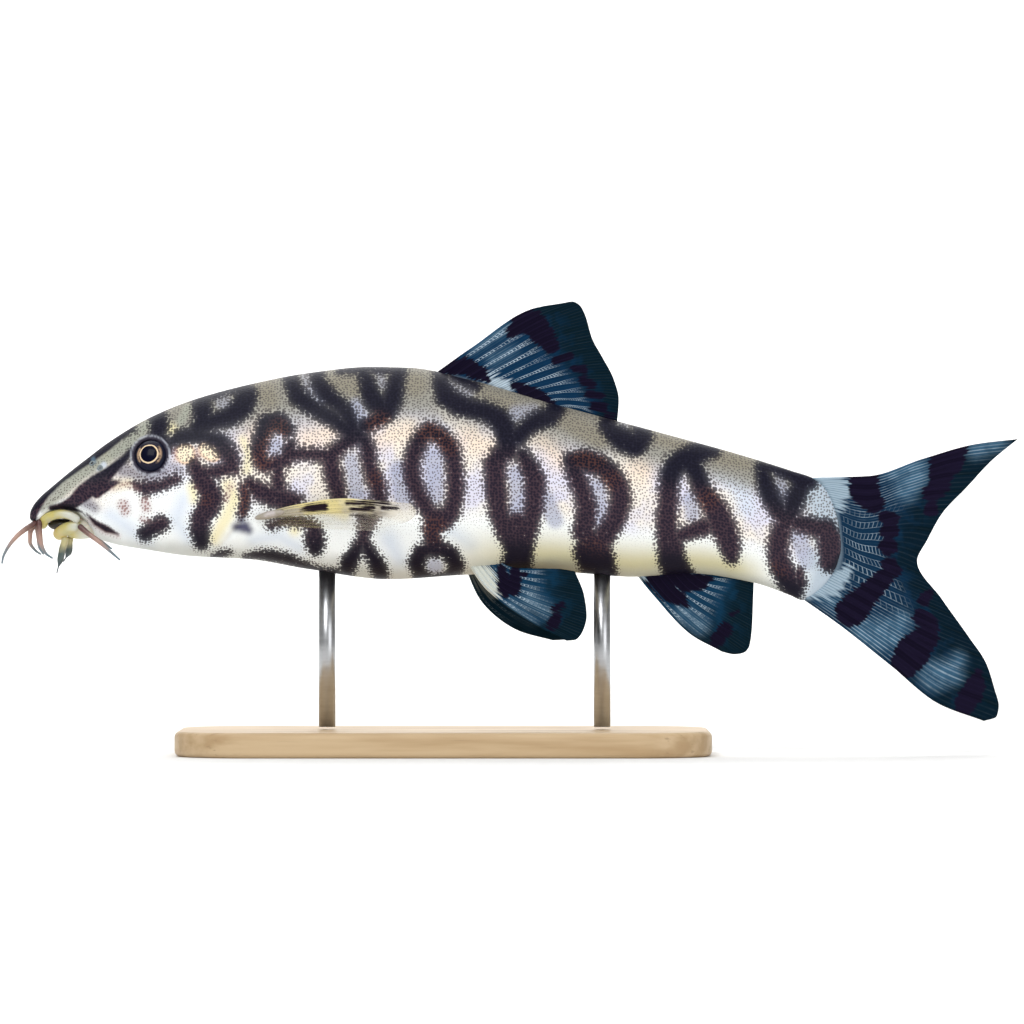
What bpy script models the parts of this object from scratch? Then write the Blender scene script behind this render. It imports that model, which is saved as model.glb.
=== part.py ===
# Yoyo loach: a life-size still model of the fish, held by a plain display stand.
#
# Sizes are in millimetres. The fish faces -X and its back is up, with its middle plane at y = 0.
# Heights of the fish are measured from the lowest tip of its tail fin, which hangs
# TAIL_CLEARANCE above the floor. The floor is z = 0.

import math

import bmesh
import bpy
from mathutils import Vector

MM = 0.001

# Where the whole stands
TAIL_CLEARANCE = 4.0
GAP = 0.3

# Body lines, as (x, height) along the back and the belly
SNOUT_X = -57.7
TAIL_END_X = 39.8
BACK_LINE = [
    (-57.7, 24.5), (-57.3, 25.8), (-56.5, 26.8), (-54.8, 28.3), (-51.2, 31.2), (-48.3, 33.4),
    (-43.3, 36.4), (-38.5, 38.4), (-31.3, 40.4), (-24.0, 41.8), (-16.9, 42.5), (-12.1, 42.4),
    (-4.9, 41.0), (4.7, 38.2), (14.3, 35.6), (23.9, 33.0), (33.5, 30.1), (36.2, 29.2),
    (37.6, 28.2), (38.7, 26.3), (39.4, 23.9), (39.8, 20.9),
]
BELLY_LINE = [
    (-57.7, 24.5), (-57.4, 24.0), (-56.9, 23.9), (-56.0, 24.5), (-55.3, 25.0), (-53.8, 25.3),
    (-52.4, 25.0), (-51.2, 24.0), (-49.6, 22.1), (-48.5, 21.5), (-43.3, 20.5), (-38.5, 19.8),
    (-31.3, 19.4), (-24.1, 18.2), (-14.5, 17.0), (-6.1, 17.5), (4.7, 18.0), (9.0, 17.7),
    (14.5, 17.3), (21.5, 17.7), (28.7, 16.7), (33.5, 15.1), (35.0, 14.5), (37.1, 15.7),
    (38.6, 17.5), (39.5, 19.6), (39.8, 20.9),
]

# Half widths, as (x, half width), and how the sections are shaped
HALF_WIDTHS = [
    (-57.7, 0.0), (-57.3, 1.0), (-56.0, 1.9), (-54.1, 2.5), (-51.2, 3.3), (-48.1, 4.0),
    (-43.3, 5.0), (-37.3, 6.0), (-31.3, 6.5), (-19.0, 7.0), (-7.0, 6.6), (4.7, 5.5),
    (16.7, 4.3), (28.7, 2.9), (33.5, 2.2), (37.0, 1.4), (39.4, 0.8), (39.8, 0.0),
]
WIDEST_LEVEL = [(-57.7, 0.50), (-50.0, 0.42), (-35.0, 0.42), (-15.0, 0.42), (15.0, 0.46), (39.8, 0.5)]
BACK_SQUARENESS = [(-57.7, 2.0), (-45.0, 1.9), (-15.0, 1.8), (39.8, 1.9)]
BELLY_SQUARENESS = [(-57.7, 2.2), (-45.0, 2.5), (-10.0, 2.4), (39.8, 2.0)]
SECTION_SIDES = 24
HEAD_SECTION_TURN = math.pi / 80
TRUNK_SECTION_TURN = math.pi / 50
TAIL_SECTION_TURN = math.pi / 80

# Rear rim of the gill cover, from the nape down to the throat, as (x, height)
GILL_RIM = [
    (-36.5, 44.0), (-34.6, 38.5), (-33.2, 34.5), (-32.1, 30.0), (-31.4, 27.1),
    (-31.9, 25.1), (-33.1, 23.2), (-34.8, 21.1), (-37.5, 17.0),
]
GILL_COVER_SWELL = 0.35
GILL_COVER_LENGTH = 7.0
GILL_COVER_MIDDLE = 27.0
GILL_COVER_REACH = 9.0
GILL_RIM_POINTS = 28

# Vent, where the trunk ends and the tail begins, as (x, height)
VENT_CUT = [(12.6, 44.0), (14.2, 10.0)]

# Eyes and nostrils
EYE_X = -43.2
EYE_HEIGHT = 31.9
EYE_RADIUS = 2.0
EYE_FLATNESS = 0.6
EYE_SINK = 0.75
ORBIT_RADIUS = 2.25
ORBIT_RIM = 0.32
NOSTRIL_FLAP = (-50.2, 31.0)
NOSTRIL_PIT = (-49.0, 30.6)
NOSTRIL_RADIUS = 0.42

# Mouth: a horseshoe of upper lip, a thicker one of lower lip, and the lining between them.
# Each is given along one side as (x, distance from the middle plane, height).
UPPER_LIP = [
    (-55.95, 0.0, 23.5), (-55.75, 0.7, 24.05), (-54.9, 1.4, 24.4), (-53.8, 1.8, 24.5),
    (-52.7, 2.15, 24.3), (-51.65, 2.45, 23.7),
]
UPPER_LIP_RADIUS = 0.46
LOWER_LIP = [
    (-54.35, 0.0, 22.35), (-54.05, 0.65, 22.4), (-53.2, 1.3, 22.4), (-52.2, 1.75, 22.4),
    (-51.35, 2.05, 22.4),
]
LOWER_LIP_RADIUS = 0.7
MOUTH_LINING = (-53.5, 0.0, 23.7)
MOUTH_LINING_RADII = (1.7, 0.8, 0.5)

# Feelers, from root to tip, as (x, distance from the middle plane, height)
FEELERS = {
    "barbel_rostral_outer_left": [
        (-57.3, -0.85, 23.5), (-58.0, -1.35, 23.1), (-59.1, -1.9, 22.2),
        (-60.2, -2.3, 20.8), (-60.75, -2.5, 19.6), (-60.85, -2.6, 18.85),
    ],
    "barbel_rostral_outer_right": [
        (-57.15, 0.85, 23.5), (-57.7, 1.2, 22.6), (-57.75, 1.45, 21.5),
        (-57.2, 1.6, 20.55), (-56.4, 1.7, 19.95),
    ],
    "barbel_rostral_inner_left": [
        (-56.65, -1.0, 23.4), (-56.45, -1.25, 22.5), (-56.2, -1.45, 21.2),
        (-55.65, -1.55, 20.1), (-54.8, -1.6, 19.5),
    ],
    "barbel_rostral_inner_right": [
        (-56.9, 0.4, 23.3), (-56.8, 0.55, 22.2), (-56.6, 0.65, 21.0),
        (-56.05, 0.7, 19.95),
    ],
    "barbel_maxillary_left": [
        (-50.95, -2.95, 22.85), (-49.9, -3.45, 22.05), (-48.8, -3.85, 21.2),
        (-47.75, -4.2, 20.3), (-46.6, -4.5, 19.3),
    ],
    "barbel_maxillary_right": [
        (-50.95, 2.95, 22.9), (-50.1, 3.5, 22.2), (-49.1, 3.95, 21.4),
        (-48.0, 4.3, 20.6),
    ],
    "barbel_mandibular_left": [
        (-53.5, -0.9, 21.3), (-53.75, -0.95, 20.5), (-53.95, -1.0, 19.4),
        (-54.2, -1.0, 18.4), (-54.4, -1.0, 17.65),
    ],
    "barbel_mandibular_right": [
        (-53.1, 0.9, 21.35), (-53.0, 1.05, 20.7), (-53.35, 1.1, 19.7), (-53.75, 1.1, 19.1),
    ],
}
FEELER_ROOT_RADIUS = 0.34
CHIN_FEELER_ROOT_RADIUS = 0.42
FEELER_TIP_SHARE = 0.38
FEELER_POINTS = 7

# Fins. Each is a fan of curves from its root to its margin, each curve running from the first
# ray to the last, as (x, height) or (x, distance from the middle plane, height).
FIN_ROWS = [0.0, 0.14, 0.38, 0.62, 0.86, 1.0]
FIN_ROOT_HALF = 0.42
FIN_WEB_HALF = 0.25
FIN_MARGIN_HALF = 0.17
FIN_RAY_RISE = 0.15
FIN_RAY_NARROW = 0.13
FIN_RAY_WIDE = 0.24
FIN_FORK_START = 0.35
FIN_FORK_END = 0.7

DORSAL_ROOT_X = [-8.6, -4.9, -1.6, 2.3, 4.5, 5.6]
DORSAL_LOW = [(-4.7, 44.8), (-1.9, 43.2), (1.3, 41.3), (5.0, 39.2), (6.7, 38.2), (7.3, 37.9)]
DORSAL_HIGH = [(2.7, 49.5), (5.3, 47.2), (7.5, 44.4), (9.5, 41.6), (11.0, 38.9), (11.2, 36.85)]
DORSAL_MARGIN = [
    (6.5, 50.2), (7.4, 50.35), (8.3, 49.9), (9.0, 48.6), (9.8, 45.9), (11.0, 43.7), (12.4, 41.0),
    (13.0, 38.5), (12.8, 36.4),
]
DORSAL_RAYS = 11

ANAL_ROOT_X = [14.9, 16.7, 19.7, 22.6]
ANAL_LOW = [(17.3, 14.9), (18.9, 15.0), (21.1, 15.5), (23.1, 16.3), (24.4, 17.15)]
ANAL_HIGH = [(21.6, 10.4), (23.5, 11.9), (24.9, 13.6), (25.9, 15.2), (26.7, 16.75)]
ANAL_MARGIN = [
    (25.4, 8.3), (26.9, 8.0), (28.0, 8.2), (28.7, 9.1), (29.0, 11.5), (29.1, 14.0), (29.2, 16.3),
]
ANAL_RAYS = 8

# The lobes of the tail fin share their middle ray, where half a gap is taken off each
CAUDAL_UPPER = [
    [(36.3, 29.3), (37.8, 28.4), (39.1, 26.4), (39.8, 23.9), (40.15, 20.9)],
    [(42.9, 29.4), (43.0, 27.7), (42.8, 25.7), (42.4, 23.3), (42.1, 20.5)],
    [(49.4, 31.45), (48.1, 29.2), (46.7, 26.5), (45.5, 23.5), (44.3, 20.0)],
    [(55.9, 33.25), (52.9, 30.1), (50.9, 27.2), (48.8, 24.1), (46.7, 19.6)],
    [(60.9, 33.85), (57.8, 31.3), (54.8, 28.1), (51.8, 24.9), (50.0, 21.7), (48.8, 19.2)],
]
CAUDAL_LOWER = [
    [(40.15, 20.9), (39.85, 19.1), (39.0, 17.2), (37.35, 15.35), (35.2, 14.05)],
    [(42.1, 20.5), (42.2, 18.4), (41.9, 16.0), (40.9, 13.7), (39.7, 11.35)],
    [(44.3, 20.0), (45.3, 17.2), (46.1, 13.8), (46.5, 10.3), (45.5, 6.75)],
    [(46.7, 19.6), (48.5, 16.0), (50.6, 12.4), (52.1, 8.0), (51.4, 2.05)],
    [
        (48.8, 19.2), (51.8, 14.6), (55.0, 10.1), (57.1, 6.9), (58.1, 3.8), (58.6, 1.8), (58.3, 0.5),
        (56.8, 0.0),
    ],
]
CAUDAL_LOBE_RAYS = 9

PELVIC_ROOT_TURN = 0.44
PELVIC_LEFT_ROOT_X = [-5.1, -3.2, -1.3]
PELVIC_LEFT = [
    [(-2.8, -3.7, 15.7), (-1.5, -3.8, 16.0), (-0.3, -3.9, 16.6), (0.4, -4.0, 17.3), (0.9, -4.0, 18.4)],
    [(3.3, -4.4, 11.4), (4.7, -4.5, 11.9), (5.7, -4.6, 13.1), (6.1, -4.7, 14.5), (5.7, -4.7, 18.3)],
    [
        (6.7, -4.9, 9.7), (7.7, -5.0, 9.8), (8.7, -5.1, 11.0), (9.1, -5.2, 12.7), (8.8, -5.2, 15.1),
        (7.7, -5.1, 18.0),
    ],
]
PELVIC_RIGHT_ROOT_X = [-5.6, -3.7, -1.8]
PELVIC_RIGHT = [
    [(-3.5, 3.7, 14.3), (-2.1, 3.8, 14.9), (-0.8, 3.9, 15.7), (0.2, 4.0, 16.6), (0.8, 4.0, 17.6)],
    [(0.9, 4.4, 10.8), (2.9, 4.5, 11.3), (4.4, 4.6, 12.6), (5.1, 4.7, 14.0), (5.3, 4.7, 17.4)],
    [
        (5.1, 4.9, 9.6), (6.7, 5.0, 9.7), (8.0, 5.1, 10.6), (8.7, 5.2, 12.4), (8.7, 5.2, 14.8),
        (7.6, 5.1, 17.4),
    ],
]
PELVIC_RAYS = 7

PECTORAL_ROOT = [(-29.9, 24.8), (-29.8, 24.1), (-29.7, 23.4)]
PECTORAL_LOW = [(-25.3, -7.9, 26.0), (-25.0, -7.8, 24.6), (-24.8, -7.7, 23.2)]
PECTORAL_MIDDLE = [(-19.9, -9.2, 26.7), (-19.3, -8.8, 24.8), (-19.3, -8.3, 22.9)]
PECTORAL_MARGIN = [
    (-11.8, -10.8, 26.1), (-11.2, -10.6, 25.1), (-12.1, -10.0, 24.0), (-14.9, -9.4, 23.3),
    (-16.6, -8.9, 22.8),
]
PECTORAL_RAYS = 8

# Display stand
BASE_LENGTH = 64.0
BASE_WIDTH = 34.0
BASE_THICKNESS = 3.0
BASE_CENTRE_X = -8.0
BASE_CORNER_RADIUS = 9.0
BASE_EDGE_ROUNDING = 0.6
ROD_RADIUS = 1.0
ROD_X = {"stand_rod_front": -22.0, "stand_rod_rear": 11.0}

# Colours: base colour, roughness and metallic
SKIN_PALE = ((0.78, 0.74, 0.62), 0.4, 0.0)
LIP_YELLOW = ((0.72, 0.62, 0.30), 0.35, 0.0)
MOUTH_DARK = ((0.03, 0.03, 0.02), 0.4, 0.0)
FEELER_GREY = ((0.32, 0.24, 0.24), 0.4, 0.0)
FIN_BLUE = ((0.08, 0.20, 0.28), 0.35, 0.0)
FIN_YELLOW = ((0.72, 0.66, 0.40), 0.35, 0.0)
EYE_BROWN = ((0.10, 0.06, 0.03), 0.05, 0.0)
BASE_WOOD = ((0.60, 0.50, 0.38), 0.5, 0.0)
ROD_STEEL = ((0.62, 0.62, 0.62), 0.25, 1.0)


def clear_scene():
    for leftover in list(bpy.data.objects):
        bpy.data.objects.remove(leftover, do_unlink=True)


def collection(name):
    made = bpy.data.collections.new(name)
    bpy.context.scene.collection.children.link(made)
    return made


def material(name, finish):
    colour, roughness, metallic = finish
    made = bpy.data.materials.new(name)
    made.use_nodes = True
    shader = made.node_tree.nodes["Principled BSDF"]
    shader.inputs["Base Color"].default_value = (*colour, 1.0)
    shader.inputs["Roughness"].default_value = roughness
    shader.inputs["Metallic"].default_value = metallic
    made.diffuse_color = (*colour, 1.0)
    return made


def model_object(name, body, finish, home):
    """A shaded object of the model, with a material of its own, from a bmesh."""
    bmesh.ops.recalc_face_normals(body, faces=body.faces)
    mesh = bpy.data.meshes.new(name)
    body.to_mesh(mesh)
    body.free()
    mesh.shade_smooth()
    made = bpy.data.objects.new(name, mesh)
    made.data.materials.append(material(name + "_finish", finish))
    home.objects.link(made)
    return made


def fish_point(x, y, height):
    """A point of the fish in metres, lifted to where the stand holds it."""
    return Vector((x, y, height + TAIL_CLEARANCE)) * MM


def smooth_value(knots, place):
    """A smooth curve through (place, value) knots that doesn't overshoot them."""
    last = len(knots) - 1
    place = min(max(place, knots[0][0]), knots[last][0])
    step = 0
    while step < last - 1 and place > knots[step + 1][0]:
        step += 1

    def rise(index):
        return (knots[index + 1][1] - knots[index][1]) / (knots[index + 1][0] - knots[index][0])

    def slope(index):
        if index == 0:
            return rise(0)
        if index == last:
            return rise(last - 1)
        before = rise(index - 1)
        after = rise(index)
        if before * after <= 0:
            return 0.0
        return 2 * before * after / (before + after)

    x0, y0 = knots[step]
    x1, y1 = knots[step + 1]
    width = x1 - x0
    t = (place - x0) / width
    return (
        y0 * (1 + 2 * t) * (1 - t) ** 2
        + slope(step) * width * t * (1 - t) ** 2
        + y1 * t * t * (3 - 2 * t)
        + slope(step + 1) * width * t * t * (t - 1)
    )


def on_curve(points, share):
    """The point at a share of the length of a smooth curve through points."""
    places = [Vector(point) for point in points]
    lengths = [0.0]
    for before, after in zip(places, places[1:]):
        lengths.append(lengths[-1] + (after - before).length)
    goal = share * lengths[-1]
    return Vector([
        smooth_value([(length, place[axis]) for length, place in zip(lengths, places)], goal)
        for axis in range(len(places[0]))
    ])


def ramp(start, end, value):
    """A smooth rise from 0 at start to 1 at end."""
    share = min(max((value - start) / (end - start), 0.0), 1.0)
    return share * share * (3 - 2 * share)


def body_turn(x):
    """The place along the body as an angle, 0 at the snout and pi at the tail's end."""
    share = (x - SNOUT_X) / (TAIL_END_X - SNOUT_X)
    return math.acos(1 - 2 * min(max(share, 0.0), 1.0))


def body_x(turn):
    return SNOUT_X + (TAIL_END_X - SNOUT_X) * (1 - math.cos(turn)) / 2


def on_line(line, x):
    """A value at x of a line along the body, rounded at the snout and the tail's end."""
    return smooth_value([(body_turn(place), value) for place, value in line], body_turn(x))


def gill_rim_x(height):
    return smooth_value(sorted((height_, x) for x, height_ in GILL_RIM), height)


def gill_cover_swell(x, height):
    """How far the gill cover stands out of the head, most at its rear rim."""
    ahead = gill_rim_x(height) - x
    along = 1 - ramp(0.0, GILL_COVER_LENGTH, ahead)
    across = 1 - ramp(0.35, 1.0, abs(height - GILL_COVER_MIDDLE) / GILL_COVER_REACH)
    return GILL_COVER_SWELL * along * across


def skin_point(x, turn, swollen=False):
    """A point of the body's skin; turn is 0 on the back and pi on the belly."""
    top = on_line(BACK_LINE, x)
    bottom = on_line(BELLY_LINE, x)
    half = on_line(HALF_WIDTHS, x)
    widest = bottom + (top - bottom) * smooth_value(WIDEST_LEVEL, x)
    up = math.cos(turn)
    out = math.sin(turn)
    squareness = BACK_SQUARENESS if up >= 0 else BELLY_SQUARENESS
    power = 2 / smooth_value(squareness, x)
    reach = top - widest if up >= 0 else widest - bottom
    height = widest + math.copysign(reach * abs(up) ** power, up)
    y = -math.copysign(half * abs(out) ** power, out)
    if swollen:
        y += math.copysign(gill_cover_swell(x, height), y) * abs(out)
    return Vector((x, y, height))


def skin_normal(x, turn):
    """The way the skin faces at a point."""
    step = 0.02
    along = skin_point(x + step, turn) - skin_point(x - step, turn)
    around = skin_point(x, turn + step) - skin_point(x, turn - step)
    facing = along.cross(around).normalized()
    return facing if facing.y * skin_point(x, turn).y > 0 else -facing


def turn_at_height(x, height):
    """The turn at which the left flank passes through a height."""
    low = 0.0
    high = math.pi
    for _ in range(40):
        middle = (low + high) / 2
        if skin_point(x, middle).z > height:
            low = middle
        else:
            high = middle
    return (low + high) / 2


def body_length(name, start_x, end_x, section_turn, finish, home, swollen=False):
    """A closed length of the body, with a pole at the snout or the tail's end."""
    start = body_turn(start_x)
    end = body_turn(end_x)
    count = math.ceil((end - start) / section_turn)
    body = bmesh.new()
    rings = []
    for index in range(count + 1):
        x = body_x(start + (end - start) * index / count)
        if x - SNOUT_X < 0.001 or TAIL_END_X - x < 0.001:
            rings.append([body.verts.new(fish_point(*skin_point(x, 0.0)))])
            continue
        ring = []
        for side in range(SECTION_SIDES):
            point = skin_point(x, 2 * math.pi * side / SECTION_SIDES, swollen)
            ring.append(body.verts.new(fish_point(*point)))
        rings.append(ring)
    for ring, following in zip(rings, rings[1:]):
        join_rings(body, ring, following)
    for ring in (rings[0], rings[-1]):
        if len(ring) > 1:
            body.faces.new(ring)
    return model_object(name, body, finish, home)


def join_rings(body, ring, following):
    sides = max(len(ring), len(following))
    for side in range(sides):
        after = (side + 1) % sides
        if len(ring) == 1:
            body.faces.new((ring[0], following[side], following[after]))
        elif len(following) == 1:
            body.faces.new((ring[side], following[0], ring[after]))
        else:
            body.faces.new((ring[side], following[side], following[after]))
            body.faces.new((ring[side], following[after], ring[after]))


def cutter_behind(name, line, offset, cutters):
    """A block that takes away all that lies behind a line of (x, height), seen from the side."""
    far_x = 90.0
    half_depth = 20.0
    outline = [(x + offset, height) for x, height in line]
    outline += [(far_x, line[-1][1]), (far_x, line[0][1])]
    block = bmesh.new()
    corners = [block.verts.new(fish_point(x, -half_depth, height)) for x, height in outline]
    face = block.faces.new(corners)
    grown = bmesh.ops.extrude_face_region(block, geom=[face])["geom"]
    moved = [item for item in grown if isinstance(item, bmesh.types.BMVert)]
    bmesh.ops.translate(block, verts=moved, vec=Vector((0, 2 * half_depth, 0)) * MM)
    return cutter_object(name, block, cutters)


def cutter_object(name, block, cutters):
    bmesh.ops.recalc_face_normals(block, faces=block.faces)
    mesh = bpy.data.meshes.new(name)
    block.to_mesh(mesh)
    block.free()
    made = bpy.data.objects.new(name, mesh)
    made.hide_render = True
    made.display_type = "WIRE"
    cutters.objects.link(made)
    return made


def boolean(target, operation, other=None, group=None):
    """Adds one Boolean with an object or with all the objects of a collection."""
    modifier = target.modifiers.new(operation.lower(), "BOOLEAN")
    modifier.operation = operation
    modifier.solver = "EXACT"
    if group:
        modifier.operand_type = "COLLECTION"
        modifier.collection = group
    else:
        modifier.object = other


def apply_and_keep_largest(target):
    """Applies the modifiers and keeps only the largest closed surface."""
    bpy.context.view_layer.update()
    evaluated = target.evaluated_get(bpy.context.evaluated_depsgraph_get())
    mesh = bpy.data.meshes.new_from_object(evaluated)
    target.modifiers.clear()
    target.data = mesh
    body = bmesh.new()
    body.from_mesh(mesh)
    bmesh.ops.remove_doubles(body, verts=body.verts, dist=0.000001)
    largest = max(surfaces(body), key=len)
    kept = set(largest)
    spare = [face for face in body.faces if face not in kept]
    bmesh.ops.delete(body, geom=spare, context="FACES")
    bmesh.ops.triangulate(body, faces=body.faces)
    body.to_mesh(mesh)
    body.free()
    mesh.shade_smooth()


def surfaces(body):
    """The separate surfaces of a mesh, each as a list of faces."""
    found = []
    seen = set()
    for first in body.faces:
        if first in seen:
            continue
        seen.add(first)
        surface = [first]
        for face in surface:
            for edge in face.edges:
                for other in edge.link_faces:
                    if other not in seen:
                        seen.add(other)
                        surface.append(other)
        found.append(surface)
    return found


def ball(name, centre, radii, facing, home, finish=None, segments=20):
    """A flattened sphere whose third radius lies along the way it faces."""
    shape = bmesh.new()
    bmesh.ops.create_uvsphere(shape, u_segments=segments, v_segments=segments // 2, radius=1.0)
    bmesh.ops.scale(shape, verts=shape.verts, vec=Vector(radii) * MM)
    place_shape(shape, centre, facing)
    if finish:
        return model_object(name, shape, finish, home)
    return cutter_object(name, shape, home)


def place_shape(shape, centre, facing):
    turned = Vector(facing).to_track_quat("Z", "Y").to_matrix()
    bmesh.ops.rotate(shape, verts=shape.verts, matrix=turned)
    bmesh.ops.translate(shape, verts=shape.verts, vec=fish_point(*centre))


def ring_shape(name, centre, ring_radius, rim_radius, facing, home):
    """A ring round the way it faces, turned from a small circle."""
    shape = bmesh.new()
    circle = bmesh.ops.create_circle(shape, segments=8, radius=rim_radius * MM)["verts"]
    bmesh.ops.rotate(shape, verts=circle, matrix=Vector((0, 1, 0)).to_track_quat("Z", "Y").to_matrix())
    bmesh.ops.translate(shape, verts=circle, vec=Vector((ring_radius * MM, 0, 0)))
    bmesh.ops.spin(
        shape, geom=shape.verts[:] + shape.edges[:], cent=(0, 0, 0), axis=(0, 0, 1),
        angle=2 * math.pi, steps=24, use_merge=True,
    )
    place_shape(shape, centre, facing)
    return cutter_object(name, shape, home)


def eye_place(side):
    """Where an eye sits and which way it looks; side is -1 for the left one."""
    turn = turn_at_height(EYE_X, EYE_HEIGHT)
    centre = skin_point(EYE_X, turn)
    facing = skin_normal(EYE_X, turn)
    centre -= facing * EYE_SINK
    return Vector((centre.x, -side * centre.y, centre.z)), Vector((facing.x, -side * facing.y, facing.z))


def face_place(place, side):
    """A point of the head's side and the way the skin faces there."""
    x, height = place
    turn = turn_at_height(x, height)
    point = skin_point(x, turn)
    facing = skin_normal(x, turn)
    return Vector((x, -side * point.y, point.z)), Vector((facing.x, -side * facing.y, facing.z))


def head_node(home, cutters, pieces):
    """The head to the gill cover's rear rim, with orbits and nostrils."""
    head = body_length("head", SNOUT_X, -28.0, HEAD_SECTION_TURN, SKIN_PALE, home, swollen=True)
    sockets = bpy.data.collections.new("head_sockets")
    cutters.children.link(sockets)
    for side, label in ((-1, "left"), (1, "right")):
        centre, facing = eye_place(side)
        ring_shape("orbit_" + label, centre + facing * EYE_SINK, ORBIT_RADIUS, ORBIT_RIM, facing, pieces)
        flap_centre, flap_facing = face_place(NOSTRIL_FLAP, side)
        flap_radii = (NOSTRIL_RADIUS, NOSTRIL_RADIUS * 0.7, NOSTRIL_RADIUS * 1.5)
        ball("nostril_flap_" + label, flap_centre, flap_radii, flap_facing, pieces, segments=12)
        socket_radii = (EYE_RADIUS + GAP, EYE_RADIUS + GAP, EYE_RADIUS * EYE_FLATNESS + GAP)
        ball("socket_" + label, centre, socket_radii, facing, sockets)
        pit_centre, pit_facing = face_place(NOSTRIL_PIT, side)
        ball("pit_" + label, pit_centre, (NOSTRIL_RADIUS,) * 3, pit_facing, sockets, segments=12)
    behind = cutter_behind("behind_gill_rim", gill_rim_line(), -GAP / 2, cutters)
    boolean(head, "UNION", group=pieces)
    boolean(head, "DIFFERENCE", group=sockets)
    boolean(head, "DIFFERENCE", other=behind)
    apply_and_keep_largest(head)


def gill_rim_line():
    top = GILL_RIM[0][1]
    bottom = GILL_RIM[-1][1]
    heights = [top + (bottom - top) * index / (GILL_RIM_POINTS - 1) for index in range(GILL_RIM_POINTS)]
    return [(gill_rim_x(height), height) for height in heights]


def cutter_ahead(name, line, offset, cutters):
    """A block that takes away all that lies ahead of a line of (x, height)."""
    mirrored = [(-x - offset, height) for x, height in line]
    block = cutter_behind(name, mirrored, 0.0, cutters)
    for vertex in block.data.vertices:
        vertex.co.x = -vertex.co.x
    block.data.flip_normals()
    return block


def trunk_node(home, cutters):
    trunk = body_length("trunk", -40.0, 17.0, TRUNK_SECTION_TURN, SKIN_PALE, home)
    ahead = cutter_ahead("ahead_of_gill_rim", gill_rim_line(), GAP / 2, cutters)
    behind = cutter_behind("behind_vent", VENT_CUT, -GAP / 2, cutters)
    boolean(trunk, "DIFFERENCE", other=ahead)
    boolean(trunk, "DIFFERENCE", other=behind)
    apply_and_keep_largest(trunk)


def tail_node(home, cutters):
    tail = body_length("tail", 10.0, TAIL_END_X, TAIL_SECTION_TURN, SKIN_PALE, home)
    ahead = cutter_ahead("ahead_of_vent", VENT_CUT, GAP / 2, cutters)
    boolean(tail, "DIFFERENCE", other=ahead)
    apply_and_keep_largest(tail)


def eye_nodes(home):
    for side, label in ((-1, "left"), (1, "right")):
        centre, facing = eye_place(side)
        radii = (EYE_RADIUS, EYE_RADIUS, EYE_RADIUS * EYE_FLATNESS)
        ball("eye_" + label, centre, radii, facing, home, EYE_BROWN, segments=24)


def tube(name, points, radii, finish, home):
    """A round tube through points with closed ends, made a mesh from a curve."""
    curve = bpy.data.curves.new(name, "CURVE")
    curve.dimensions = "3D"
    curve.bevel_depth = MM
    curve.bevel_resolution = 2
    curve.use_fill_caps = True
    spline = curve.splines.new("POLY")
    spline.points.add(len(points) - 1)
    for knot, point, radius in zip(spline.points, points, radii):
        knot.co = (*fish_point(*point), 1.0)
        knot.radius = radius
    guide = bpy.data.objects.new(name + "_guide", curve)
    home.objects.link(guide)
    bpy.context.view_layer.update()
    evaluated = guide.evaluated_get(bpy.context.evaluated_depsgraph_get())
    mesh = bpy.data.meshes.new_from_object(evaluated)
    body = bmesh.new()
    body.from_mesh(mesh)
    body.transform(guide.matrix_world)
    bmesh.ops.remove_doubles(body, verts=body.verts, dist=0.000001)
    bpy.data.objects.remove(guide, do_unlink=True)
    return model_object(name, body, finish, home)


def both_sides(half):
    """A path across the middle plane from the half of it on one side."""
    far = [(x, y, height) for x, y, height in reversed(half)]
    near = [(x, -y, height) for x, y, height in half[1:]]
    return far + near


def lip_nodes(home):
    for name, half, radius in (
        ("upper_lip", UPPER_LIP, UPPER_LIP_RADIUS),
        ("lower_lip", LOWER_LIP, LOWER_LIP_RADIUS),
    ):
        path = both_sides(half)
        count = 2 * len(path) - 1
        points = [on_curve(path, index / (count - 1)) for index in range(count)]
        bulges = [math.sin(math.pi * index / (count - 1)) ** 0.5 for index in range(count)]
        radii = [radius * (0.7 + 0.3 * bulge) for bulge in bulges]
        tube(name, points, radii, LIP_YELLOW, home)
    ball("mouth_lining", MOUTH_LINING, MOUTH_LINING_RADII, (0, 0, 1), home, MOUTH_DARK, segments=16)


def feeler_nodes(home):
    for name, path in FEELERS.items():
        root = CHIN_FEELER_ROOT_RADIUS if "mandibular" in name else FEELER_ROOT_RADIUS
        points = [on_curve(path, index / (FEELER_POINTS - 1)) for index in range(FEELER_POINTS)]
        taper = 1 - FEELER_TIP_SHARE
        radii = [root * (1 - taper * (index / (FEELER_POINTS - 1)) ** 1.5) for index in range(FEELER_POINTS)]
        tube(name, points, radii, FEELER_GREY, home)


def fin_columns(rays):
    """Places across a fin: for each ray a strip of web, then a ridge that forks outwards."""
    columns = []
    for ray in range(rays):
        columns += [(ray, "web"), (ray, "fore"), (ray, "fork"), (ray, "aft")]
    return columns + [(rays, "web")]


def column_share(column, rays, row):
    """How far across the fin a column lies at a row, from 0 at the first ray to 1."""
    ray, kind = column
    spread = FIN_RAY_NARROW + (FIN_RAY_WIDE - FIN_RAY_NARROW) * row
    shift = {"web": 0.0, "fore": 0.5 - spread, "fork": 0.5, "aft": 0.5 + spread}[kind]
    return (ray + shift) / rays


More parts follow.
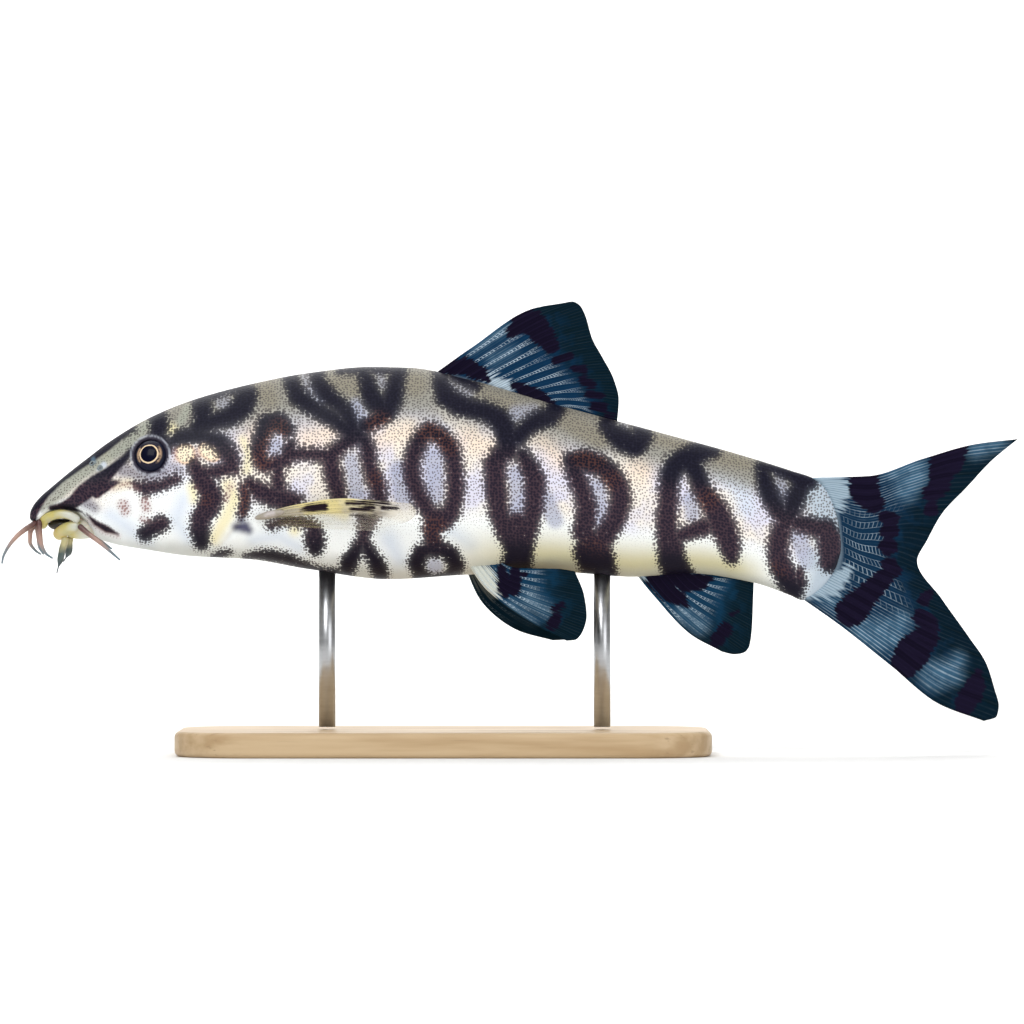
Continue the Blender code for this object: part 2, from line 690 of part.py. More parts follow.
def column_half(column, row):
    """Half the fin's thickness at a column and row: the web and the ray's ridge on it."""
    web = FIN_WEB_HALF + (FIN_ROOT_HALF - FIN_WEB_HALF) * (1 - ramp(0.0, 0.35, row))
    web += (FIN_MARGIN_HALF - FIN_WEB_HALF) * ramp(0.6, 1.0, row)
    ridge = FIN_RAY_RISE * (1 - 0.7 * ramp(0.5, 1.0, row))
    kind = column[1]
    if kind == "web":
        ridge = 0.0
    if kind == "fork":
        ridge *= 1 - ramp(FIN_FORK_START, FIN_FORK_END, row)
    return web + ridge


def in_space(point):
    """A fin's point with its distance from the middle plane, 0 where none is given."""
    if len(point) == 3:
        return tuple(point)
    return (point[0], 0.0, point[1])


def fin_node(name, levels, rays, finish, home):
    """A fin through levels from root to margin, with ray ridges on both faces."""
    levels = [[in_space(point) for point in level] for level in levels]
    grid = []
    halves = []
    for column in fin_columns(rays):
        line = []
        for row in FIN_ROWS:
            share = column_share(column, rays, row)
            line.append(on_curve([on_curve(level, share) for level in levels], row))
        grid.append(line)
        halves.append([column_half(column, row) for row in FIN_ROWS])
    body = bmesh.new()
    faces = fin_faces(body, grid, halves)
    close_fin_rim(body, *faces)
    return model_object(name, body, finish, home)


def fin_faces(body, grid, halves):
    """Both faces of a fin, split into triangles alike, as grids of vertices."""
    last_column = len(grid) - 1
    last_row = len(grid[0]) - 1
    left = []
    right = []
    for column, line in enumerate(grid):
        left_line = []
        right_line = []
        for row, point in enumerate(line):
            across = grid[min(column + 1, last_column)][row] - grid[max(column - 1, 0)][row]
            along = line[min(row + 1, last_row)] - line[max(row - 1, 0)]
            outward = across.cross(along).normalized() * halves[column][row]
            left_line.append(body.verts.new(fish_point(*(point + outward))))
            right_line.append(body.verts.new(fish_point(*(point - outward))))
        left.append(left_line)
        right.append(right_line)
    for side in (left, right):
        for column in range(last_column):
            for row in range(last_row):
                corner = side[column][row]
                across = side[column + 1][row]
                along = side[column][row + 1]
                opposite = side[column + 1][row + 1]
                body.faces.new((corner, across, opposite))
                body.faces.new((corner, opposite, along))
    return left, right


def close_fin_rim(body, left, right):
    """Joins the two faces of a fin all round, from the root over the margin."""
    def rim(side):
        return (
            [line[0] for line in side]
            + side[-1][1:]
            + [line[-1] for line in reversed(side[:-1])]
            + list(reversed(side[0][1:-1]))
        )

    near = rim(left)
    far = rim(right)
    for index in range(len(near)):
        after = (index + 1) % len(near)
        body.faces.new((near[index], near[after], far[after]))
        body.faces.new((near[index], far[after], far[index]))


def dorsal_node(home):
    root = [(x, on_line(BACK_LINE, x) + GAP) for x in DORSAL_ROOT_X]
    fin_node("dorsal_fin", [root, DORSAL_LOW, DORSAL_HIGH, DORSAL_MARGIN], DORSAL_RAYS, FIN_BLUE, home)


def anal_node(home):
    root = [(x, on_line(BELLY_LINE, x) - GAP) for x in ANAL_ROOT_X]
    fin_node("anal_fin", [root, ANAL_LOW, ANAL_HIGH, ANAL_MARGIN], ANAL_RAYS, FIN_BLUE, home)


def caudal_nodes(home):
    upper = [level[:-1] + [(level[-1][0], level[-1][1] + GAP / 2)] for level in CAUDAL_UPPER]
    lower = [[(level[0][0], level[0][1] - GAP / 2)] + level[1:] for level in CAUDAL_LOWER]
    fin_node("caudal_fin_upper", upper, CAUDAL_LOBE_RAYS, FIN_BLUE, home)
    fin_node("caudal_fin_lower", lower, CAUDAL_LOBE_RAYS, FIN_BLUE, home)


def off_skin(x, turn, distance):
    """A point at a distance out of the skin."""
    return tuple(skin_point(x, turn) + skin_normal(x, turn) * distance)


def pelvic_nodes(home):
    for name, turn, root_x, levels in (
        ("pelvic_fin_left", math.pi - PELVIC_ROOT_TURN, PELVIC_LEFT_ROOT_X, PELVIC_LEFT),
        ("pelvic_fin_right", math.pi + PELVIC_ROOT_TURN, PELVIC_RIGHT_ROOT_X, PELVIC_RIGHT),
    ):
        root = [off_skin(x, turn, GAP + FIN_ROOT_HALF) for x in root_x]
        fin_node(name, [root] + levels, PELVIC_RAYS, FIN_BLUE, home)


def pectoral_nodes(home):
    root = [off_skin(x, turn_at_height(x, height), GAP + FIN_ROOT_HALF) for x, height in PECTORAL_ROOT]
    levels = [root, PECTORAL_LOW, PECTORAL_MIDDLE, PECTORAL_MARGIN]
    fin_node("pectoral_fin_left", levels, PECTORAL_RAYS, FIN_YELLOW, home)
    mirrored = [[(x, -y, height) for x, y, height in level] for level in levels]
    fin_node("pectoral_fin_right", mirrored, PECTORAL_RAYS, FIN_YELLOW, home)


def stand_base_node(home):
    """A flat slab with round corners and a softened top edge."""
    slab = bmesh.new()
    bmesh.ops.create_cube(slab, size=1.0)
    bmesh.ops.scale(slab, verts=slab.verts, vec=Vector((BASE_LENGTH, BASE_WIDTH, BASE_THICKNESS)) * MM)
    upright = [edge for edge in slab.edges if abs(edge.verts[0].co.z - edge.verts[1].co.z) > MM]
    bmesh.ops.bevel(
        slab, geom=upright, offset=BASE_CORNER_RADIUS * MM, affect="EDGES",
        segments=8, profile=0.5, material=-1,
    )
    top = [edge for edge in slab.edges if min(vertex.co.z for vertex in edge.verts) > 0]
    bmesh.ops.bevel(
        slab, geom=top, offset=BASE_EDGE_ROUNDING * MM, affect="EDGES",
        segments=2, profile=0.5, material=-1,
    )
    bmesh.ops.translate(slab, verts=slab.verts, vec=Vector((BASE_CENTRE_X, 0, BASE_THICKNESS / 2)) * MM)
    return model_object("stand_base", slab, BASE_WOOD, home)


def stand_rod_nodes(home):
    """Two upright rods from just over the base to just under the belly."""
    for name, x in ROD_X.items():
        foot = BASE_THICKNESS + GAP
        belly = min(on_line(BELLY_LINE, x - ROD_RADIUS), on_line(BELLY_LINE, x + ROD_RADIUS))
        head = belly + TAIL_CLEARANCE - GAP
        rod = bmesh.new()
        bmesh.ops.create_cone(
            rod, cap_ends=True, segments=16, radius1=ROD_RADIUS * MM, radius2=ROD_RADIUS * MM,
            depth=(head - foot) * MM,
        )
        bmesh.ops.translate(rod, verts=rod.verts, vec=Vector((x, 0, (head + foot) / 2)) * MM)
        model_object(name, rod, ROD_STEEL, home)


def remove_collection(group):
    for piece in list(group.objects):
        bpy.data.objects.remove(piece, do_unlink=True)
    bpy.data.collections.remove(group)


def main():
    clear_scene()
    home = collection("yoyo_loach")
    cutters = collection("cutters")
    pieces = collection("head_pieces")
    head_node(home, cutters, pieces)
    remove_collection(pieces)
    trunk_node(home, cutters)
    tail_node(home, cutters)
    eye_nodes(home)
    lip_nodes(home)
    feeler_nodes(home)
    dorsal_node(home)
    anal_node(home)
    caudal_nodes(home)
    pelvic_nodes(home)
    pectoral_nodes(home)
    stand_base_node(home)
    stand_rod_nodes(home)


main()
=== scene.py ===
import math

import bmesh
import bpy
import numpy as np
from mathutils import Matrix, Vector


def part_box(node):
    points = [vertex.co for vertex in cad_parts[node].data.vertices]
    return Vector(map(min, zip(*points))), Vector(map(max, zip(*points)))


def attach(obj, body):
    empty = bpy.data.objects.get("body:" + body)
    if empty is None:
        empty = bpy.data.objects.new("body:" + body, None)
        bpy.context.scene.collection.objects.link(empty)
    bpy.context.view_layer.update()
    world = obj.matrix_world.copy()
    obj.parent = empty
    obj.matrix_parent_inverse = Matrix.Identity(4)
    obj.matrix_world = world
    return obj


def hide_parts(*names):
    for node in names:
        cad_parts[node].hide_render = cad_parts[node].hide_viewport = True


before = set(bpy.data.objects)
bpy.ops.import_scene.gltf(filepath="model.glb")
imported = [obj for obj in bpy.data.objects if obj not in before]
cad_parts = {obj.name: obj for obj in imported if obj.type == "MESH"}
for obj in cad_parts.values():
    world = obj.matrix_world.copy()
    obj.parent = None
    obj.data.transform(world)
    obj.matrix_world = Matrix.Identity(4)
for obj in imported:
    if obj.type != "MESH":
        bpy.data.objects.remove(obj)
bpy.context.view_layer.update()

MM = 0.001
TAIL_CLEARANCE = 4.0

# The photograph's frame: one pixel's size, and the pixels of x = 0 and of height 0
PIXEL = 0.12
MIDDLE_PIXEL = 510.5
TAIL_TIP_PIXEL = 721.0
IMAGE_PIXELS = 1024
CAMERA_DISTANCE = 1000.0
CAMERA_CLIP = 10.0
SENSOR_WIDTH = 36.0

# Body lines, as (x, height) along the back and the belly
SNOUT_X = -57.7
TAIL_END_X = 39.8
BACK_LINE = [
    (-57.7, 24.5), (-57.3, 25.8), (-56.5, 26.8), (-54.8, 28.3), (-51.2, 31.2), (-48.3, 33.4),
    (-43.3, 36.4), (-38.5, 38.4), (-31.3, 40.4), (-24.0, 41.8), (-16.9, 42.5), (-12.1, 42.4),
    (-4.9, 41.0), (4.7, 38.2), (14.3, 35.6), (23.9, 33.0), (33.5, 30.1), (36.2, 29.2),
    (37.6, 28.2), (38.7, 26.3), (39.4, 23.9), (39.8, 20.9),
]
BELLY_LINE = [
    (-57.7, 24.5), (-57.4, 24.0), (-56.9, 23.9), (-56.0, 24.5), (-55.3, 25.0), (-53.8, 25.3),
    (-52.4, 25.0), (-51.2, 24.0), (-49.6, 22.1), (-48.5, 21.5), (-43.3, 20.5), (-38.5, 19.8),
    (-31.3, 19.4), (-24.1, 18.2), (-14.5, 17.0), (-6.1, 17.5), (4.7, 18.0), (9.0, 17.7),
    (14.5, 17.3), (21.5, 17.7), (28.7, 16.7), (33.5, 15.1), (35.0, 14.5), (37.1, 15.7),
    (38.6, 17.5), (39.5, 19.6), (39.8, 20.9),
]
HALF_WIDTHS = [
    (-57.7, 0.0), (-57.3, 1.0), (-56.0, 1.9), (-54.1, 2.5), (-51.2, 3.3), (-48.1, 4.0),
    (-43.3, 5.0), (-37.3, 6.0), (-31.3, 6.5), (-19.0, 7.0), (-7.0, 6.6), (4.7, 5.5),
    (16.7, 4.3), (28.7, 2.9), (33.5, 2.1), (37.0, 1.15), (38.7, 0.64), (39.5, 0.45), (39.8, 0.0),
]
WIDEST_LEVEL = [
    (-57.7, 0.5), (-50.0, 0.42), (-35.0, 0.42), (-15.0, 0.42), (15.0, 0.46), (39.8, 0.5),
]
BACK_SQUARENESS = [(-57.7, 2.0), (-45.0, 1.9), (-15.0, 1.8), (39.8, 1.9)]
BELLY_SQUARENESS = [(-57.7, 2.2), (-45.0, 2.5), (-10.0, 2.4), (39.8, 2.0)]
SKIN_SIDES = 168
SKIN_SECTIONS = 580
GIRTH_STEPS = 12

# The gill cover: its rear rim, as (x, height), its swell and the slit behind it
GILL_RIM = [
    (-36.5, 44.0), (-34.6, 38.5), (-33.2, 34.5), (-32.1, 30.0), (-31.4, 27.1),
    (-31.9, 25.1), (-33.1, 23.2), (-34.8, 21.1), (-37.5, 17.0),
]
GILL_RIM_MIDDLE = -33.0
GILL_RIM_SPREAD = 14.0
GILL_COVER_SWELL = 0.4
GILL_COVER_LENGTH = 7.0
GILL_COVER_MIDDLE = 27.0
GILL_COVER_REACH = 9.0
GILL_STEP = 0.3
GILL_SLIT_DEPTH = 0.22
GILL_SLIT_WIDTH = 0.35
GILL_SLIT_BEHIND = 0.45

# Eyes and nostrils
EYE_PLACE = (-43.05, 31.85)
EYE_RADIUS = 2.0
EYE_FLATNESS = 0.6
EYE_SINK = 0.45
ORBIT_RADIUS = 2.28
ORBIT_RIM = 0.16
ORBIT_RIM_WIDTH = 0.3
EYE_HOLLOW_DEPTH = 1.6
EYE_HOLLOW_RADII = (1.5, 1.95)
PUPIL_RADIUS = 1.0
GOLD_RING_RADIUS = 1.17
IRIS_RADIUS = 1.65
NOSTRILS = {"nostril_front": (-50.1, 30.9), "nostril_rear": (-49.1, 30.35)}
NOSTRIL_RING_RADIUS = 0.28
NOSTRIL_RIM_RADIUS = 0.09
NOSTRIL_LIFT = 0.02

# Mouth, as (x, distance from the middle plane, height) along one side
UPPER_LIP = [
    (-56.1, 0.0, 23.6), (-55.85, 0.7, 24.2), (-54.9, 1.4, 24.65), (-53.8, 1.8, 24.85),
    (-52.7, 2.15, 24.65), (-51.6, 2.4, 23.95),
]
UPPER_LIP_RADIUS = 0.56
LOWER_LIP = [
    (-54.1, 0.0, 22.5), (-53.9, 0.65, 22.65), (-53.2, 1.3, 23.05), (-52.3, 1.75, 23.3),
    (-51.4, 2.05, 23.4),
]
LOWER_LIP_RADIUS = 0.8
LIP_CORNER_Y = (2.0, 2.6)
MOUTH_LINING = (-53.6, 0.0, 23.55)
MOUTH_LINING_RADII = (1.9, 1.3, 0.75)
JAW = (-51.5, 0.0, 23.1)
JAW_RADII = (2.3, 2.3, 1.3)
JAW_CORNER_X = (-52.6, -51.0)

# Feelers, from inside the head to the tip, as (x, distance from the middle plane, height)
FEELERS = {
    "barbel_rostral_outer_left": [
        (-56.8, -0.5, 23.9), (-57.3, -0.85, 23.55), (-58.0, -1.35, 23.1), (-59.1, -1.9, 22.2),
        (-60.2, -2.3, 20.8), (-60.75, -2.5, 19.6), (-60.87, -2.6, 18.85),
    ],
    "barbel_rostral_outer_right": [
        (-56.7, 0.5, 24.0), (-57.15, 0.85, 23.5), (-57.7, 1.2, 22.6), (-57.75, 1.45, 21.5),
        (-57.2, 1.6, 20.55), (-56.4, 1.7, 19.95),
    ],
    "barbel_rostral_inner_left": [
        (-56.5, -0.8, 24.2), (-56.5, -1.0, 23.4), (-56.4, -1.25, 22.5), (-56.2, -1.45, 21.2),
        (-55.65, -1.55, 20.1), (-54.8, -1.6, 19.5),
    ],
    "barbel_rostral_inner_right": [
        (-56.7, 0.3, 24.2), (-56.8, 0.4, 23.3), (-56.7, 0.55, 22.2), (-56.6, 0.65, 21.0),
        (-56.05, 0.7, 19.95),
    ],
    "barbel_maxillary_left": [
        (-51.7, -2.5, 23.5), (-50.95, -2.95, 22.85), (-49.9, -3.45, 22.05), (-48.8, -3.85, 21.2),
        (-47.75, -4.2, 20.3), (-46.6, -4.5, 19.3),
    ],
    "barbel_maxillary_right": [
        (-51.7, 2.5, 23.5), (-50.95, 2.95, 22.9), (-50.1, 3.5, 22.2), (-49.1, 3.95, 21.4),
        (-48.0, 4.3, 20.6),
    ],
    "barbel_mandibular_left": [
        (-53.3, -0.8, 22.2), (-53.5, -0.9, 21.4), (-53.75, -0.95, 20.5), (-53.95, -1.0, 19.4),
        (-54.2, -1.0, 18.5), (-54.4, -1.0, 17.7),
    ],
    "barbel_mandibular_right": [
        (-52.8, 0.8, 22.2), (-53.0, 0.95, 21.35), (-53.0, 1.05, 20.7), (-53.35, 1.1, 19.7),
        (-53.75, 1.1, 19.1),
    ],
}
FEELER_ROOT_RADIUS = 0.36
CHIN_FEELER_ROOT_RADIUS = 0.44
FEELER_SIDES = 16
FEELER_SECTIONS = 72

# Fins: fans of curves from the root to the margin, each running from the first ray to the last
DORSAL_ROOT_X = [-9.3, -4.9, -1.6, 2.3, 4.5, 5.6]
DORSAL_LOW = [(-4.7, 44.8), (-1.9, 43.2), (1.3, 41.3), (5.0, 39.2), (6.7, 38.0), (7.3, 37.3)]
DORSAL_HIGH = [(2.7, 49.5), (5.3, 47.2), (7.5, 44.4), (9.5, 41.6), (11.0, 38.9), (11.2, 36.25)]
DORSAL_MARGIN = [
    (6.5, 50.2), (7.4, 50.35), (8.3, 49.9), (9.0, 48.6), (9.8, 45.9), (11.0, 43.7), (12.4, 41.0),
    (13.0, 38.5), (12.8, 35.9),
]
ANAL_ROOT_X = [14.9, 16.7, 19.7, 22.6]
ANAL_LOW = [(17.3, 14.9), (18.9, 15.0), (21.1, 15.5), (23.1, 16.3), (24.4, 17.55)]
ANAL_HIGH = [(21.6, 10.4), (23.5, 11.9), (24.9, 13.6), (25.9, 15.2), (26.7, 17.25)]
ANAL_MARGIN = [
    (25.4, 8.3), (26.9, 8.0), (28.0, 8.2), (28.7, 9.1), (29.0, 11.5), (29.1, 14.0), (29.2, 16.75),
]
CAUDAL = [
    [
        (36.0, 29.2), (37.2, 28.4), (38.4, 26.4), (39.2, 23.9), (39.5, 20.9), (39.2, 19.1),
        (38.3, 17.3), (36.6, 15.7), (34.6, 14.95),
    ],
    [
        (42.9, 29.4), (43.0, 27.7), (42.8, 25.7), (42.4, 23.3), (42.1, 20.5), (42.2, 18.4),
        (41.9, 16.0), (40.9, 13.7), (39.7, 11.35),
    ],
    [
        (49.4, 31.45), (48.1, 29.2), (46.7, 26.5), (45.5, 23.5), (44.3, 20.0), (45.3, 17.2),
        (46.1, 13.8), (46.5, 10.3), (45.5, 6.75),
    ],
    [
        (55.9, 33.25), (52.9, 30.1), (50.9, 27.2), (48.8, 24.1), (46.7, 19.6), (48.5, 16.0),
        (50.6, 12.4), (52.1, 8.0), (51.4, 2.05),
    ],
    [
        (60.9, 33.85), (57.8, 31.3), (54.8, 28.1), (51.8, 24.9), (50.0, 21.7), (48.8, 19.2),
        (51.8, 14.6), (55.0, 10.1), (57.1, 6.9), (58.1, 3.8), (58.6, 1.8), (58.3, 0.5), (56.8, 0.0),
    ],
]
PELVIC_ROOT_TURN = 0.44
PELVIC_LEFT_ROOT_X = [-5.1, -3.2, -1.3]
PELVIC_LEFT = [
    [(-2.8, -3.7, 15.7), (-1.5, -3.8, 16.0), (-0.3, -3.9, 16.6), (0.4, -4.0, 17.3), (0.9, -4.0, 18.4)],
    [(3.3, -4.4, 11.4), (4.7, -4.5, 11.9), (5.7, -4.6, 13.1), (6.1, -4.7, 14.5), (5.7, -4.7, 18.3)],
    [
        (6.7, -4.9, 9.7), (7.7, -5.0, 9.8), (8.7, -5.1, 11.0), (9.1, -5.2, 12.7), (8.8, -5.2, 15.1),
        (7.7, -5.1, 18.0),
    ],
]
PELVIC_RIGHT_ROOT_X = [-5.6, -3.7, -1.8]
PELVIC_RIGHT = [
    [(-3.5, 3.7, 14.3), (-2.1, 3.8, 14.9), (-0.8, 3.9, 15.7), (0.2, 4.0, 16.6), (0.8, 4.0, 17.6)],
    [(0.9, 4.4, 10.8), (2.9, 4.5, 11.3), (4.4, 4.6, 12.6), (5.1, 4.7, 14.0), (5.3, 4.7, 17.4)],
    [
        (5.1, 4.9, 9.6), (6.7, 5.0, 9.7), (8.0, 5.1, 10.6), (8.7, 5.2, 12.4), (8.7, 5.2, 14.8),
        (7.6, 5.1, 17.4),
    ],
]
PECTORAL_ROOT = [(-29.9, 24.8), (-29.8, 24.1), (-29.7, 23.4)]
PECTORAL = [
    [(-25.3, -7.9, 26.0), (-25.0, -7.8, 24.6), (-24.8, -7.7, 23.2)],
    [(-19.9, -9.2, 26.7), (-19.3, -8.8, 24.8), (-19.3, -8.3, 22.9)],
    [
        (-11.8, -10.8, 26.1), (-11.2, -10.6, 25.1), (-12.1, -10.0, 24.0), (-14.9, -9.4, 23.3),
        (-16.6, -8.9, 22.8),
    ],
]
PECTORAL_LOBE = (-28.7, -7.0, 24.75)
PECTORAL_LOBE_RADII = (0.8, 0.45, 1.9)
PECTORAL_LOBE_WAY = (0.95, -0.22, 0.22)

# How deep the fins' roots are sunk, half the membrane's thickness at its root, in its web and at
# its margin, and how far the rays stand out of it
FIN_ROOT_SINK = 0.5
FIN_ROOT_HALF = 0.42
FIN_WEB_HALF = 0.13
FIN_MARGIN_HALF = 0.05
FIN_RAY_RISE = 0.08

# The fins' meshes: cells across a ray's spacing, and rows from the root to the margin
CELLS_PER_RAY = 10
FIN_ROWS = 90
CAUDAL_ROWS = 130

# Each fin's count of rays, half a ray's width in rays' spacings, and segments along a ray
DORSAL_RAYS = (11, 0.11, 34)
ANAL_RAYS = (8, 0.11, 26)
CAUDAL_RAYS = (14, 0.27, 24)
PELVIC_RAYS = (7, 0.11, 28)
PECTORAL_RAYS = (8, 0.13, 40)

# Display stand
BASE_CORNER_RADIUS = 9.0
BASE_EDGE_ROUNDING = 0.7
ROD_SINK = 0.8

# Studio, in metres: the floor, where it starts to bend up behind the fish, and the bend's radius
FLOOR_REACH = 3.0
FLOOR_ROWS = 120
FLOOR_DEPTH = 1.3
FLOOR_BEND = 0.5

# Soft square lights, as (name, place, point they aim at, size, power)
STUDIO_LIGHTS = [
    ("key", (-0.35, -0.75, 0.75), (0.0, 0.0, 0.03), 0.5, 5.4),
    ("fill", (0.7, -0.8, 0.3), (0.0, 0.0, 0.03), 0.7, 3.0),
    ("top", (0.0, 0.1, 0.9), (0.0, 0.0, 0.03), 0.8, 3.0),
    ("back", (0.0, 0.9, 0.9), (0.0, 1.0, 0.3), 1.2, 8.0),
    ("wall", (0.0, 1.2, 1.2), (0.0, 1.8, 0.3), 1.4, 14.0),
]
WORLD_STRENGTH = 0.32

# Markings, each a line of (pixel across, pixel down, half width in pixels) traced over
# the photograph, in order from the head to the tail
HEAD_MARKS = [
    [(33, 521, 3), (34, 513, 4), (39, 504, 4), (47, 494, 3), (61, 481, 2), (79, 467, 3), (91, 458, 4),
     (104, 449, 4), (118, 439, 3), (132, 429, 2)],
    [(157, 414, 7), (160, 426, 8), (158, 436, 5), (166, 441, 4), (171, 448, 3)],
    [(52, 508, 2), (63, 507, 4), (75, 502, 6), (86, 492, 8), (98, 483, 8), (108, 475, 6), (118, 466, 4),
     (126, 459, 3), (132, 452, 2)],
    [(98, 494, 4), (106, 486, 6), (120, 482, 1)], [(70, 507, 3), (83, 512, 0), (91, 520, -1)],
    [(136, 484, 2), (148, 489, 6), (163, 486, 4), (178, 479, 4)],
    [(88, 514, 0), (97, 523, 2), (108, 529, 3), (119, 534, 0)],
    [(146, 534, 6), (155, 528, 7), (163, 524, 7)],
    [(172, 443, 4), (181, 438, 6), (195, 436, 6), (208, 437, 6), (221, 442, 7), (229, 452, 8),
     (233, 463, 7), (237, 471, 3)],
    [(197, 464, 4), (198, 469, 7), (203, 478, 9), (210, 488, 10), (214, 498, 10), (210, 508, 10),
     (203, 518, 9), (201, 530, 9), (203, 542, 7)],
    [(206, 472, 5), (216, 473, 5), (226, 470, 6), (233, 467, 6)],
    [(200, 432, 8), (204, 422, 8), (204, 410, 8), (200, 400, 6), (207, 396, 5), (225, 389, 4),
     (243, 388, 7), (247, 396, 9), (243, 407, 10), (232, 417, 8), (218, 421, 7), (206, 426, 8)],
    [(214, 556, 1), (222, 554, 3), (230, 552, 1)],
]
SHOULDER_MARKS = [
    [(247, 488, 4), (247, 500, 4), (244, 512, 4)],
    [(252, 484, 5), (262, 492, 8), (275, 497, 9), (288, 500, 9), (298, 501, 6)],
    [(280, 488, 6), (279, 478, 5), (280, 468, 5)],
    [(288, 430, 6), (280, 423, 8), (268, 424, 8), (264, 436, 7), (260, 448, 7), (262, 460, 7),
     (266, 466, 6), (280, 463, 6), (288, 460, 6), (292, 445, 4)],
    [(292, 455, 6), (305, 454, 5), (320, 455, 5), (332, 457, 7), (340, 449, 6), (350, 441, 7),
     (358, 436, 8)],
    [(273, 525, 3), (284, 521, 4), (298, 521, 5), (312, 524, 4)],
    [(315, 530, 7), (316, 538, 9), (316, 546, 8)],
    [(246, 557, 1), (262, 555, 4), (275, 556, 5), (288, 559, 5), (300, 564, 4), (320, 571, 3),
     (342, 575, 4)],
]
BACK_MARKS = [
    [(289, 373, 5), (293, 385, 6), (299, 397, 7), (310, 406, 7), (322, 413, 7), (335, 419, 7),
     (346, 428, 7), (354, 436, 7)],
    [(316, 372, 5), (320, 384, 6), (328, 396, 7), (339, 405, 7), (347, 414, 7), (353, 427, 7)],
    [(362, 371, 4), (368, 382, 6), (370, 394, 7), (377, 404, 9), (384, 411, 8)],
    [(398, 372, 6), (396, 386, 7), (393, 400, 8), (387, 413, 8), (375, 422, 6), (364, 428, 6)],
    [(340, 371, 1), (370, 370, 2), (403, 371, 2)],
    [(358, 436, 7), (366, 441, 5), (369, 452, 6), (370, 464, 6), (374, 476, 7), (379, 488, 7),
     (380, 498, 6)],
    [(345, 444, 4), (334, 453, 6), (332, 464, 7), (335, 476, 8), (338, 488, 7), (341, 498, 6)],
    [(370, 513, 10), (367, 526, 7), (364, 538, 4), (357, 551, 6), (350, 562, 7), (347, 573, 6)],
    [(364, 538, 4), (370, 552, 6), (377, 562, 7), (381, 573, 7)],
]
MIDDLE_MARKS = [
    [(430, 431, 7), (421, 439, 7), (415, 452, 7), (412, 465, 7), (414, 480, 7), (418, 492, 7),
     (424, 504, 7), (431, 514, 7)],
    [(430, 431, 7), (441, 437, 7), (450, 447, 7), (454, 459, 7), (455, 472, 7), (456, 486, 7),
     (455, 500, 7), (451, 512, 8), (443, 520, 9)],
    [(438, 520, 12), (432, 530, 8), (433, 540, 8), (436, 548, 9)],
    [(434, 547, 7), (422, 552, 7), (417, 563, 7), (420, 574, 6), (434, 579, 3), (450, 576, 5),
     (457, 565, 7), (450, 553, 7), (438, 547, 7)],
    [(441, 375, 6), (442, 386, 7), (447, 397, 9), (458, 405, 9), (472, 409, 8), (486, 412, 8),
     (497, 418, 9), (505, 428, 9), (508, 440, 10), (508, 450, 10)],
    [(454, 376, 3), (466, 381, 4), (476, 386, 3)],
    [(556, 408, 7), (549, 417, 8), (538, 421, 8), (527, 428, 7), (518, 437, 8)],
    [(500, 455, 8), (495, 465, 9), (495, 480, 9), (497, 495, 9), (499, 510, 9), (503, 522, 9),
     (508, 535, 9)],
    [(522, 455, 6), (530, 468, 8), (535, 480, 9), (534, 495, 8), (533, 510, 8), (530, 522, 8),
     (526, 535, 9)],
    [(517, 530, 16), (518, 542, 15), (519, 552, 13), (517, 562, 14), (516, 576, 12)],
]
REAR_MARKS = [
    [(572, 462, 8), (584, 461, 10), (598, 465, 9), (610, 474, 9), (618, 486, 9), (620, 500, 9),
     (617, 514, 9), (611, 526, 9), (603, 537, 10)],
    [(574, 470, 8), (578, 482, 8), (583, 495, 8), (586, 508, 8), (585, 520, 9), (583, 532, 10),
     (590, 540, 10)],
    [(592, 550, 17), (596, 560, 17), (600, 572, 15)],
    [(606, 424, 6), (612, 432, 8), (622, 440, 10), (634, 444, 11), (642, 436, 9), (640, 428, 6)],
    [(712, 449, 7), (700, 452, 9), (688, 458, 10), (674, 466, 9), (669, 478, 9), (668, 492, 8),
     (667, 506, 8), (666, 520, 9), (667, 534, 10), (670, 548, 12), (671, 560, 12), (676, 571, 13),
     (683, 580, 12)],
    [(690, 462, 9), (696, 474, 8), (700, 488, 8), (708, 500, 9), (716, 512, 11), (720, 524, 12),
     (727, 536, 11), (730, 548, 9), (731, 557, 6)],
    [(680, 535, 6), (692, 531, 6), (704, 527, 8)],
]
STALK_MARKS = [
    [(762, 468, 5), (775, 468, 4), (790, 474, 5), (800, 480, 8), (809, 482, 6)],
    [(763, 474, 5), (766, 487, 7), (771, 500, 8), (779, 512, 8), (785, 520, 8)],
    [(803, 482, 8), (798, 492, 8), (793, 503, 9), (790, 514, 8), (785, 522, 9)],
    [(781, 530, 9), (778, 542, 9), (777, 554, 9), (780, 566, 10), (787, 578, 11), (794, 590, 9)],
    [(795, 522, 7), (806, 525, 8), (816, 528, 8), (826, 531, 10), (830, 540, 11), (831, 552, 11),
     (829, 563, 8)],
    [(798, 572, 4), (799, 584, 6), (797, 594, 5)],
]
BODY_MARKS = HEAD_MARKS + SHOULDER_MARKS + BACK_MARKS + MIDDLE_MARKS + REAR_MARKS + STALK_MARKS

